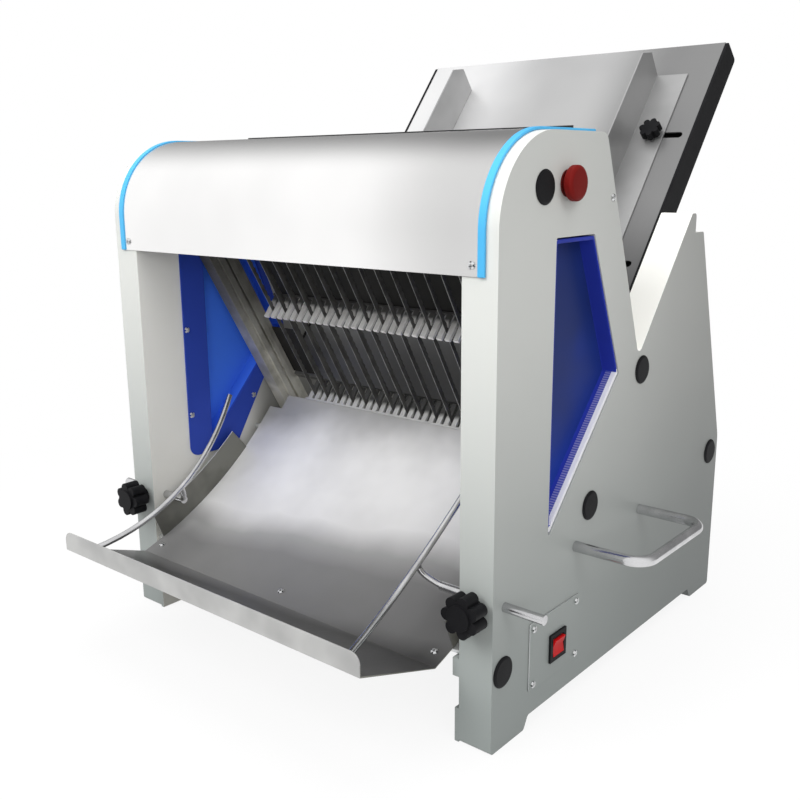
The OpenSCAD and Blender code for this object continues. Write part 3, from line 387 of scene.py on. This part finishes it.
def dressWindow(node):
    shape = solidOf(node)
    roundSharp(shape, windowLook)
    for place in (windowLook["wallFrom"], windowLook["hatchFrom"], windowLook["whiteFrom"]):
        for way in (-place, place):
            bmesh.ops.bisect_plane(shape, geom=allOf(shape), plane_co=(way, 0, 0), plane_no=(1, 0, 0))
    shape.normal_update()
    plate, rim, hatch, wall = range(4)
    turn = windowLook["sillTurn"]
    for face in shape.faces:
        depth = abs(face.calc_center_median().x)
        if depth > windowLook["wallFrom"] and abs(face.normal.x) < windowLook["wallTurn"]:
            sill = face.normal.y < -turn and face.normal.z > turn
            onHighlightRim, hatched = depth > windowLook["whiteFrom"], depth > windowLook["hatchFrom"]
            face.material_index = rim if sill and onHighlightRim else hatch if sill and hatched else wall
    # the rim's end face is parted along the sill, so that only its strip is white, as painted highlight
    sill = max((f for f in shape.faces if f.material_index == rim), key=lambda f: f.calc_area())
    way = sill.normal.copy()
    place = sill.calc_center_median() + sill.normal * windowLook["rimDeep"]
    bmesh.ops.bisect_plane(shape, geom=allOf(shape), plane_co=place, plane_no=way)
    for face in shape.faces:
        middle = face.calc_center_median()
        if face.material_index == plate and abs(middle.x) > windowLook["whiteFrom"]:
            face.material_index = rim if (middle - place).dot(way) < 0 else wall
    pieceFrom(shape, node + "_look", node, [windowBluePaintedLight, windowRimHighlight, windowHatch, windowWall])


# cover, its trims, the guard behind it and the plates round the drive
sheetEdges = {"edge": 0.45 * mm}
trimEdges = {"edge": 0.9 * mm, "segments": 3}
guardLook = {"edge": 0.45 * mm, "edgeBand": 0.5 * mm, "lift": 1.8 * mm}
trimLook = {"grain": 500, "cloud": 12, "pale": (0.09, 0.50, 0.84), "deep": (0.05, 0.38, 0.74),
    "gloss": 0.34, "drift": 0.12, "coat": 0.1, "shine": 0.4, "bump": 0.05}
# painted reflection: the cover is darker to the right and near its top
coverReflectionSteelLook = {"brush": (2, 700, 700), "cloud": 4, "pale": (0.96, 0.955, 0.95),
    "deep": (0.90, 0.895, 0.89), "metal": 0.9, "gloss": 0.16, "drift": 0.05, "grain": 0.012,
    "lightAndShadeBands": [(0, 0.10, 0.25, 0.70), (2, 0.57, 0.598, 0.82)]}
# painted shade: the guard's top band is near black
guardShadeEdgeLook = {"brush": (2, 600, 600), "cloud": 8, "pale": (0.70, 0.70, 0.70),
    "deep": (0.56, 0.56, 0.56), "metal": 0.8, "gloss": 0.26, "drift": 0.08, "grain": 0.03,
    "lightAndShadeBands": [(2, 0.6075, 0.6085, 0.05)]}
trimBlue = plasticFinish("trimBlue", trimLook)
coverReflectionSteel = brushedFinish("coverReflectionSteel", coverReflectionSteelLook)
guardShadeEdge = brushedFinish("guardShadeEdge", guardShadeEdgeLook)


# the guard's top edge stands a little higher, as a dark line above the cover: painted shade for the gap
# behind it
def dressGuard():
    shape = solidOf("infeed_guard")
    top = max(v.co.z for v in shape.verts)
    edge = [v for v in shape.verts if v.co.z > top - guardLook["edgeBand"]]
    bmesh.ops.translate(shape, vec=(0, 0, guardLook["lift"]), verts=edge)
    roundSharp(shape, guardLook)
    pieceFrom(shape, "infeed_guard_look", "infeed_guard", [guardShadeEdge])


for side in sides:
    dressPanel(side + "_side_panel")
    dress(side + "_cover_trim", trimBlue, trimEdges)
    dressWindow(side + "_window_panel")
dress("top_cover", coverReflectionSteel, sheetEdges)
dressGuard()
for node in ("rear_cover", "front_guard", "base_plate"):
    dress(node, shadedPanelPaint, sheetEdges)
print("housing done")


# delivery tray with a lip and side flanges: its bright hollow and dark apron are a painted reflection,
# the lip and flanges darker copies of its steel, painted shade
trayLook = {"edge": 0.45 * mm, "angle": 30, "lipCorner": 11 * mm, "lipSteps": 6, "lipDeep": 2.2 * mm,
    "lipFrom": -0.36, "near": 0.1 * mm, "lipTurn": 0.5, "flangeTurn": 0.8}
trayReflectionSteelLook = {"brush": (700, 4, 4), "cloud": 9, "pale": (0.90, 0.895, 0.89),
    "deep": (0.80, 0.795, 0.79), "metal": 0.22, "gloss": 0.26, "drift": 0.1, "grain": 0.03,
    "along": depthAxis, "tilt": -0.11, "wander": 0.04, "start": -0.39, "end": -0.02,
    "lightAndShadeBands": [(0, 0.08, 0.22, 0.8)],
    "reflectionStops": [(0.0, 0.085), (0.2, 0.078), (0.26, 0.073), (0.34, 0.2), (0.5, 0.25), (0.58, 0.43),
        (0.66, 0.94), (0.74, 1.0), (0.86, 1.0), (0.92, 0.9), (1.0, 0.5)]}
shadedLipSteelLook = {"brush": (4, 700, 700), "cloud": 12, "pale": (0.55, 0.55, 0.54),
    "deep": (0.41, 0.41, 0.405), "metal": 0.5, "gloss": 0.28, "drift": 0.1, "grain": 0.03}
shadedFlangeSteelLook = {"brush": (40, 300, 300), "cloud": 14, "pale": (0.22, 0.22, 0.195),
    "deep": (0.13, 0.13, 0.115), "metal": 0.4, "gloss": 0.36, "drift": 0.15, "grain": 0.05}
trayReflectionSteel = brushedFinish("trayReflectionSteel", trayReflectionSteelLook)
shadedLipSteel = brushedFinish("shadedLipSteel", shadedLipSteelLook)
shadedFlangeSteel = brushedFinish("shadedFlangeSteel", shadedFlangeSteelLook)


def dressTray():
    shape = solidOf("delivery_tray")
    near = trayLook["near"]
    top = max(v.co.z for v in shape.verts if v.co.y < trayLook["lipFrom"])

    def onLip(vert):
        return vert.co.z > top - near and vert.co.y < trayLook["lipFrom"]

    corners = [e for e in shape.edges if all(onLip(v) for v in e.verts)
        and abs(e.verts[0].co.x - e.verts[1].co.x) < near]
    roundEdges(shape, corners, trayLook["lipCorner"], trayLook["lipSteps"])
    roundSharp(shape, trayLook)
    shape.normal_update()
    lip, flange = 1, 2
    lipEnd = min(v.co.y for v in shape.verts) + trayLook["lipDeep"]
    for face in shape.faces:
        if face.calc_center_median().y < lipEnd and face.normal.y < trayLook["lipTurn"]:
            face.material_index = lip
        elif abs(face.normal.x) > trayLook["flangeTurn"]:
            face.material_index = flange
    pieceFrom(shape, "delivery_tray_look", "delivery_tray", [trayReflectionSteel, shadedLipSteel, shadedFlangeSteel])
    return len(corners)


print("tray: lip corners", dressTray())


# combs, blades, their frames and the slide rails; the combs are painted darker behind the blades, as
# painted shade
bladeLook = {"flat": 0.5}
combEdges = {"edge": 0.5 * mm}
railEdges = {"edge": 0.8 * mm}
barEdges = {"edge": 0.7 * mm, "angle": 60}
shadedCombSteelLook = {"brush": (600, 30, 30), "cloud": 30, "pale": (0.97, 0.96, 0.94),
    "deep": (0.80, 0.79, 0.77), "metal": 0.35, "gloss": 0.3, "drift": 0.15, "grain": 0.08,
    "lightAndShadeBands": [(1, -0.0895, -0.0850, 0.14)]}
shadedLowerCombLook = {"brush": (600, 30, 30), "cloud": 30, "pale": (0.70, 0.70, 0.68),
    "deep": (0.54, 0.54, 0.53), "metal": 0.45, "gloss": 0.3, "drift": 0.15, "grain": 0.08,
    "lightAndShadeBands": [(1, -0.0205, -0.0155, 0.14)]}
# the blades' faces are a dark copy of their steel, painted shade, and their edges a paler copy, painted
# highlight
shadedBladeSideLook = {"brush": (40, 500, 40), "cloud": 40, "pale": (0.15, 0.148, 0.14),
    "deep": (0.085, 0.084, 0.08), "metal": 0.5, "gloss": 0.4, "drift": 0.2, "grain": 0.1}
litBladeEdgeLook = {"brush": (40, 500, 40), "cloud": 40, "pale": (0.50, 0.50, 0.49),
    "deep": (0.30, 0.30, 0.29), "metal": 0.6, "gloss": 0.3, "drift": 0.2, "grain": 0.1}
# painted shade: the rails, frames and rods darken towards the top, under the cover
shadedDarkSteelLook = {"brush": (30, 30, 300), "cloud": 22, "pale": (0.74, 0.725, 0.66),
    "deep": (0.41, 0.40, 0.35), "metal": 0.5, "gloss": 0.38, "drift": 0.2, "grain": 0.12,
    "lightAndShadeBands": [(2, 0.30, 0.43, 0.27)]}
# near black as painted shade: the guard behind the blades and the channels under the slots
nearBlackShadeSteelLook = {"brush": (300, 20, 20), "cloud": 12, "pale": (0.022, 0.021, 0.02),
    "deep": (0.011, 0.011, 0.01), "metal": 0.3, "gloss": 0.5, "drift": 0.15, "grain": 0.08}
shadedCombSteel = brushedFinish("shadedCombSteel", shadedCombSteelLook)
shadedLowerCombSteel = brushedFinish("shadedLowerCombSteel", shadedLowerCombLook)
shadedBladeSide = brushedFinish("shadedBladeSide", shadedBladeSideLook)
litBladeEdge = brushedFinish("litBladeEdge", litBladeEdgeLook)
shadedDarkSteel = brushedFinish("shadedDarkSteel", shadedDarkSteelLook)
nearBlackShadeSteel = brushedFinish("nearBlackShadeSteel", nearBlackShadeSteelLook)


def dressBlades(node):
    shape = solidOf(node)
    shape.normal_update()
    for face in shape.faces:
        face.material_index = 0 if abs(face.normal.x) > bladeLook["flat"] else 1
    pieceFrom(shape, node + "_look", node, [shadedBladeSide, litBladeEdge])


dressBlades("front_blades")
dressBlades("rear_blades")
dress("lower_comb", shadedLowerCombSteel, combEdges)
dress("upper_comb", shadedCombSteel, combEdges)
dress("comb_guard", nearBlackShadeSteel, sheetEdges)
for side in sides:
    dress(side + "_slide_rail", shadedDarkSteel, railEdges)
for node in ("front_blade_frame", "rear_blade_frame", "frame_bolts", "front_rods", "rear_rods"):
    dress(node, shadedDarkSteel, barEdges)
print("cutting gear done")


# infeed table and guides, slice rods, knobs and carry handles
knobEdges = {"edge": 2.4 * mm, "segments": 3, "angle": 60}
smallKnobEdges = {"edge": 1.6 * mm, "segments": 3, "angle": 60}
stripEdges = {"edge": 0.8 * mm}
rodEdges = {"edge": 0.8 * mm, "angle": 70}
bearingEdges = {"edge": 1.5 * mm, "angle": 60}
handleEdges = {"edge": 0.5 * mm, "angle": 70}
nutEdges = {"edge": 0.6 * mm, "angle": 70}
channelLook = {"half": 12 * mm, "gap": 0.3 * mm, "deep": 14 * mm, "wall": 1 * mm, "reach": 48 * mm,
    "slots": (0, -199 * mm), "tilt": math.radians(51.2), "nutHalf": 3.5 * mm}
# painted reflection and shade: the table darkens to the right and towards its lower end under the cover
shadedTableSteelLook = {"brush": (700, 4, 4), "cloud": 4, "pale": (0.84, 0.84, 0.84),
    "deep": (0.74, 0.74, 0.745), "metal": 0.7, "gloss": 0.3, "drift": 0.1, "grain": 0.04,
    "lightAndShadeBands": [(0, -0.15, 0.0, 0.60), (0, 0.06, 0.17, 0.52), (2, 0.55, 0.37, 0.26)]}
# painted shade: the right guide is darker
shadedGuideSteelLook = {"brush": (600, 6, 6), "cloud": 8, "pale": (0.53, 0.53, 0.53),
    "deep": (0.42, 0.42, 0.42), "metal": 0.7, "gloss": 0.32, "drift": 0.1, "grain": 0.04,
    "lightAndShadeBands": [(0, 0.0, 0.15, 0.84)]}
blackPlasticLook = {"grain": 900, "cloud": 60, "pale": (0.010, 0.010, 0.011),
    "deep": (0.004, 0.004, 0.005), "gloss": 0.5, "drift": 0.2, "coat": 0.0, "shine": 0.16, "bump": 0.25}
chromeLook = {"brush": (60, 60, 60), "cloud": 25, "pale": (0.68, 0.68, 0.69),
    "deep": (0.52, 0.52, 0.53), "metal": 0.95, "gloss": 0.13, "drift": 0.08, "grain": 0.02}
zincLook = {"brush": (200, 200, 30), "cloud": 60, "pale": (0.76, 0.77, 0.77),
    "deep": (0.62, 0.63, 0.64), "metal": 0.8, "gloss": 0.24, "drift": 0.12, "grain": 0.05}
ironLook = {"brush": (160, 160, 160), "cloud": 50, "pale": (0.17, 0.175, 0.18),
    "deep": (0.09, 0.095, 0.10), "metal": 0.5, "gloss": 0.45, "drift": 0.2, "grain": 0.3}
shadedTableSteel = brushedFinish("shadedTableSteel", shadedTableSteelLook)
shadedGuideSteel = brushedFinish("shadedGuideSteel", shadedGuideSteelLook)
blackPlastic = plasticFinish("blackPlastic", blackPlasticLook)
chrome = brushedFinish("chrome", chromeLook)
zinc = brushedFinish("zinc", zincLook)
iron = brushedFinish("iron", ironLook)


# closed channel under each slot, in which the clamp nut and the guide's pin run; its near-black steel is
# painted shade, so the slots look dark
def addSlotShadeChannels(side):
    low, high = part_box(side + "_guide_nut")
    middle, tilt = (low + high) / 2, channelLook["tilt"]
    along = Vector((0, math.cos(tilt), math.sin(tilt)))
    out = Vector((0, -math.sin(tilt), math.cos(tilt)))
    half, gap, deep = (channelLook[key] for key in ("half", "gap", "deep"))
    reach = Vector((channelLook["reach"], 0, 0))
    places = [(-half, -gap), (-half, -deep), (half, -deep), (half, -gap)]
    shape = bmesh.new()
    for step in channelLook["slots"]:
        top = middle + along * step + out * channelLook["nutHalf"]
        corners = [shape.verts.new(top + along * s + out * h - reach) for s, h in places]
        runs = [shape.edges.new(pair) for pair in zip(corners, corners[1:])]
        made = bmesh.ops.extrude_edge_only(shape, edges=runs)
        bmesh.ops.translate(shape, vec=reach * 2, verts=vertsIn(made))
    bmesh.ops.recalc_face_normals(shape, faces=shape.faces)
    bmesh.ops.solidify(shape, geom=shape.faces, thickness=channelLook["wall"])
    pieceFrom(shape, side + "_slot_shade_channel", "infeed_table", [nearBlackShadeSteel], hides=False)


dress("infeed_table", shadedTableSteel, sheetEdges)
for side in sides:
    addSlotShadeChannels(side)
    dress(side + "_infeed_guide", shadedGuideSteel, sheetEdges)
    dress(side + "_table_edge", blackPlastic, stripEdges)
    dress(side + "_guide_knob", blackPlastic, smallKnobEdges)
    dress(side + "_star_knob", blackPlastic, knobEdges)
    dress(side + "_slice_rod", chrome, rodEdges)
    dress(side + "_bearing_block", iron, bearingEdges)
    dress(side + "_carry_handle", chrome, handleEdges)
    dress(side + "_guide_nut", zinc, nutEdges)
print("table, guides and rods done")


# switches, plugs and screws
plugEdges = {"edge": 0.6 * mm, "segments": 3, "angle": 25}
stopEdges = {"edge": 2.2 * mm, "segments": 4, "angle": 25}
collarEdges = {"edge": 0.4 * mm}
switchEdges = {"edge": 0.6 * mm, "segments": 3}
plateEdges = {"edge": 0.45 * mm, "bright": 0.8}
screwLook = {"cells": 3, "outer": 0.9, "flat": 0.66, "slot": 0.15, "cross": 0.02, "recess": 0.6,
    "taper": 0.8, "rings": [(0.86, 0.22), (0.98, 0.5), (1.0, 0.75), (1.0, 1.0)], "smooth": 50}
redButtonLook = {"grain": 700, "cloud": 40, "pale": (0.21, 0.009, 0.007),
    "deep": (0.15, 0.006, 0.005), "gloss": 0.5, "drift": 0.15, "coat": 0.0, "shine": 0.15, "bump": 0.1}
# painted shade: the collar under the head is a darker copy of the button's red
shadedRedCollarLook = {**redButtonLook, "pale": (0.10, 0.006, 0.005), "deep": (0.07, 0.004, 0.004)}
redRockerLook = {"grain": 700, "cloud": 60, "pale": (0.74, 0.010, 0.012),
    "deep": (0.50, 0.006, 0.008), "gloss": 0.42, "drift": 0.1, "coat": 0.0, "shine": 0.16, "bump": 0.06}
redButton = plasticFinish("redButton", redButtonLook)
shadedRedCollar = plasticFinish("shadedRedCollar", shadedRedCollarLook)
redRocker = plasticFinish("redRocker", redRockerLook)


# the plate's cut edges are bright zinc, a painted highlight along them
def dressSwitchPlate():
    shape = solidOf("switch_plate")
    roundSharp(shape, plateEdges)
    shape.normal_update()
    for face in shape.faces:
        face.material_index = 1 if abs(face.normal.x) < plateEdges["bright"] else 0
    pieceFrom(shape, "switch_plate_look", "switch_plate", [shadedPanelPaint, zinc])


def islandsOf(shape):
    left, islands = dict.fromkeys(shape.verts), []  # a dictionary keeps the same order each run
    while left:
        island, edge = [], [left.popitem()[0]]
        while edge:
            vert = edge.pop()
            island.append(vert)
            near = [e.other_vert(vert) for e in vert.link_edges if e.other_vert(vert) in left]
            for other in near:
                del left[other]
            edge.extend(near)
        islands.append(island)
    return islands


# pan head: a round cap, its cross pushed in beneath the old faces, its rim drawn down
def screwHead(radius, height):
    head, cells, taper = bmesh.new(), screwLook["cells"], screwLook["taper"]
    bmesh.ops.create_grid(head, x_segments=cells, y_segments=cells, size=1)
    slotCorner = screwLook["slot"] * math.sqrt(2)
    for vert in head.verts:
        outside = max(abs(vert.co.x), abs(vert.co.y)) > screwLook["outer"]
        vert.co = vert.co.normalized() * radius * (screwLook["flat"] if outside else slotCorner)
    width = screwLook["cross"] * radius
    middles = [(face, face.calc_center_median()) for face in head.faces]
    cross = [face for face, middle in middles if min(abs(middle.x), abs(middle.y)) < width]
    sunk = vertsIn(bmesh.ops.extrude_face_region(head, geom=cross))  # the old faces stay on top
    bmesh.ops.scale(head, vec=(taper, taper, 1), verts=sunk)
    bmesh.ops.translate(head, vec=(0, 0, -height * screwLook["recess"]), verts=sunk)
    rim, reach, level = [e for e in head.edges if e.is_boundary], screwLook["flat"], 0
    for wide, down in screwLook["rings"]:
        made = bmesh.ops.extrude_edge_only(head, edges=rim)
        ring = vertsIn(made)
        bmesh.ops.scale(head, vec=(wide / reach, wide / reach, 1), verts=ring)
        bmesh.ops.translate(head, vec=(0, 0, (level - down) * height), verts=ring)
        rim = [e for e in made["geom"] if isinstance(e, bmesh.types.BMEdge) and e.is_boundary]
        reach, level = wide, down
    bmesh.ops.holes_fill(head, edges=rim, sides=0)
    bmesh.ops.recalc_face_normals(head, faces=head.faces)
    return head


def dressScrews():
    source, shape = solidOf("panel_screws"), bmesh.new()
    source.normal_update()
    for island in islandsOf(source):
        base = max((f for v in island for f in v.link_faces), key=lambda f: f.calc_area())
        middle, axis = base.calc_center_median(), -base.normal
        radius = max((v.co - middle).length for v in base.verts)
        height = max((v.co - middle).dot(axis) for v in island)
        head = screwHead(radius, height)
        turn = axis.to_track_quat("Z", "Y").to_matrix().to_4x4()
        place = Matrix.Translation(middle + axis * height)
        bmesh.ops.transform(head, matrix=place @ turn, verts=head.verts)
        part = bpy.data.meshes.new("screwHead")
        head.to_mesh(part)
        head.free()
        shape.from_mesh(part)
        bpy.data.meshes.remove(part)
    source.free()
    pieceFrom(shape, "panel_screws_look", "panel_screws", [zinc], smoothAngle=screwLook["smooth"])


dress("hole_plugs", blackPlastic, plugEdges)
dress("emergency_stop", redButton, stopEdges)
dress("emergency_stop_collar", shadedRedCollar, collarEdges)
dressSwitchPlate()
dress("switch_bezel", blackPlastic, switchEdges)
dress("rocker_switch", redRocker, switchEdges)
dressScrews()
print("switches and screws done")


# drive and the bars inside
motorEdges = {"edge": 2.5 * mm, "segments": 3, "angle": 60}
driveEdges = {"edge": 0.6 * mm, "angle": 60}
rubberLook = {"grain": 600, "cloud": 50, "pale": (0.022, 0.022, 0.022),
    "deep": (0.012, 0.012, 0.012), "gloss": 0.6, "drift": 0.2, "coat": 0.0, "shine": 0.25, "bump": 0.3}
rubber = plasticFinish("rubber", rubberLook)

dress("motor", iron, motorEdges)
for node in ("tray_support_rod", "top_tie_bar", "rear_tie_bar", "crankshaft", "tray_cross_bar"):
    dress(node, zinc, driveEdges)
dress("crank_pulley", iron, driveEdges)
dress("motor_pulley", iron, driveEdges)
dress("drive_belt", rubber, driveEdges)
dress("cable_gland", blackPlastic, driveEdges)


# pale floor that keeps the shadow near the machine and turns white away from it
stageLook = {"reach": 6.0, "drop": 0.0002, "shownTone": 0.9, "bounceTone": 0.3, "glow": 0.88,
    "near": 0.4, "far": 1.1}


def makeFloor():
    shape = bmesh.new()
    bmesh.ops.create_grid(shape, x_segments=1, y_segments=1, size=stageLook["reach"])
    mesh = bpy.data.meshes.new("studioFloor")
    shape.to_mesh(mesh)
    shape.free()
    floor = bpy.data.objects.new("studioFloor", mesh)
    floor.location.z = cadLow.z - stageLook["drop"]
    bpy.context.scene.collection.objects.link(floor)
    material, shade, where = startMaterial("studioWhite")
    shown, bounce = (shade.node("ShaderNodeBsdfDiffuse", {}, {"Color": (*(stageLook[key],) * 3, 1)})
        for key in ("shownTone", "bounceTone"))
    glow = shade.node("ShaderNodeEmission", {}, {"Color": (*white, 1), "Strength": 1.0})
    seen = shade.node("ShaderNodeLightPath", out="Is Camera Ray")
    seen = seen + shade.node("ShaderNodeLightPath", out="Is Glossy Ray")
    away = shade.node("ShaderNodeVectorMath", {"operation": "LENGTH"}, {0: where}, out=vectorLength)
    clear = between(shade, away, stageLook["near"], stageLook["far"], stageLook["glow"], 1.0)
    view = shade.node("ShaderNodeMixShader", {}, {0: clear, 1: shown, 2: glow})
    surface = shade.node("ShaderNodeMixShader", {}, {0: seen, 1: bounce, 2: view})
    shade.node("ShaderNodeOutputMaterial", {}, {"Surface": surface})
    mesh.materials.append(material)


# even light all round, a soft gradient in reflections, white behind the machine
worldLook = {"front": 1.0, "back": 0.28, "under": 0.35, "soft": 0.46, "mirror": 1.0,
    "frontEnd": -0.1, "backStart": 0.7, "underEnd": -0.5, "aboveStart": -0.12}


def makeWorld():
    world = bpy.data.worlds.new("studio")
    bpy.context.scene.world = world
    world.use_nodes = True
    world.node_tree.nodes.clear()
    shade = Shade(world.node_tree)
    direction = shade.node("ShaderNodeTexCoord", out="Generated")
    ahead = between(shade, axisOf(shade, direction, depthAxis), worldLook["frontEnd"],
        worldLook["backStart"], worldLook["front"], worldLook["back"])
    above = between(shade, axisOf(shade, direction, upAxis), worldLook["underEnd"],
        worldLook["aboveStart"], worldLook["under"], 1.0)
    tones = {"soft": (*white, 1), "mirror": mixed(shade, ahead * above, black, white)}
    soft, mirror = (shade.node("ShaderNodeBackground", {}, {"Color": tones[key],
        "Strength": worldLook[key]}) for key in ("soft", "mirror"))
    behind = shade.node("ShaderNodeBackground", {}, {"Color": (*white, 1), "Strength": 1.0})
    glossy = shade.node("ShaderNodeLightPath", out="Is Glossy Ray")
    seen = shade.node("ShaderNodeLightPath", out="Is Camera Ray")
    lit = shade.node("ShaderNodeMixShader", {}, {0: glossy, 1: soft, 2: mirror})
    surface = shade.node("ShaderNodeMixShader", {}, {0: seen, 1: lit, 2: behind})
    shade.node("ShaderNodeOutputWorld", {}, {"Surface": surface})


# soft lamps that don't show in the steel
lamps = {
    "frontSoftbox": {"place": (-0.5, -2.3, 2.2), "aim": (0, 0, 0.35), "size": (2.2, 1.6), "watts": 62},
    "sideSoftbox": {"place": (2.0, -1.0, 2.3), "aim": (0, 0, 0.4), "size": (1.4, 1.4), "watts": 16},
    "fillSoftbox": {"place": (1.7, -1.9, 0.85), "aim": (-0.1, 0, 0.35), "size": (1.2, 1.0), "watts": 13},
    "topSoftbox": {"place": (0.0, 0.0, 2.9), "aim": (0, 0, 0.3), "size": (1.8, 1.8), "watts": 28},
    "rearSoftbox": {"place": (-0.3, 2.4, 0.6), "aim": (0, 0.2, 0.3), "size": (1.8, 1.0), "watts": 24},
}


def addLamp(name, place, aim, size, watts):
    lamp = bpy.data.lights.new(name, "AREA")
    lamp.shape, lamp.size, lamp.size_y, lamp.energy = "RECTANGLE", size[0], size[1], watts
    holder = bpy.data.objects.new(name, lamp)
    holder.location = place
    holder.rotation_euler = (Vector(aim) - Vector(place)).to_track_quat("-Z", "Y").to_euler()
    holder.visible_glossy = False
    bpy.context.scene.collection.objects.link(holder)


# camera fitted to the edges of the panels
cameraLook = {"place": (0.77053, -0.950267, 0.57317), "right": (0.76620, 0.64256, -0.00789),
    "up": (-0.14454, 0.18429, 0.97219), "ahead": (-0.62614, 0.74375, -0.23408), "lens": 43.13,
    "sensor": 36, "nearest": 0.01, "farthest": 50}


def makeCamera():
    data = bpy.data.cameras.new("photoCamera")
    data.sensor_width, data.lens = cameraLook["sensor"], cameraLook["lens"]
    data.clip_start, data.clip_end = cameraLook["nearest"], cameraLook["farthest"]
    camera = bpy.data.objects.new("photoCamera", data)
    bpy.context.scene.collection.objects.link(camera)
    right, up, ahead = (Vector(cameraLook[key]) for key in ("right", "up", "ahead"))
    turn = Matrix((right, up, -ahead)).transposed().to_4x4()
    camera.matrix_world = Matrix.Translation(cameraLook["place"]) @ turn
    bpy.context.scene.camera = camera


makeFloor()
makeWorld()
for name, look in lamps.items():
    addLamp(name, **look)
makeCamera()
bpy.context.scene.view_settings.view_transform = "Standard"
print("stage: floor, world,", len(lamps), "lamps and camera")
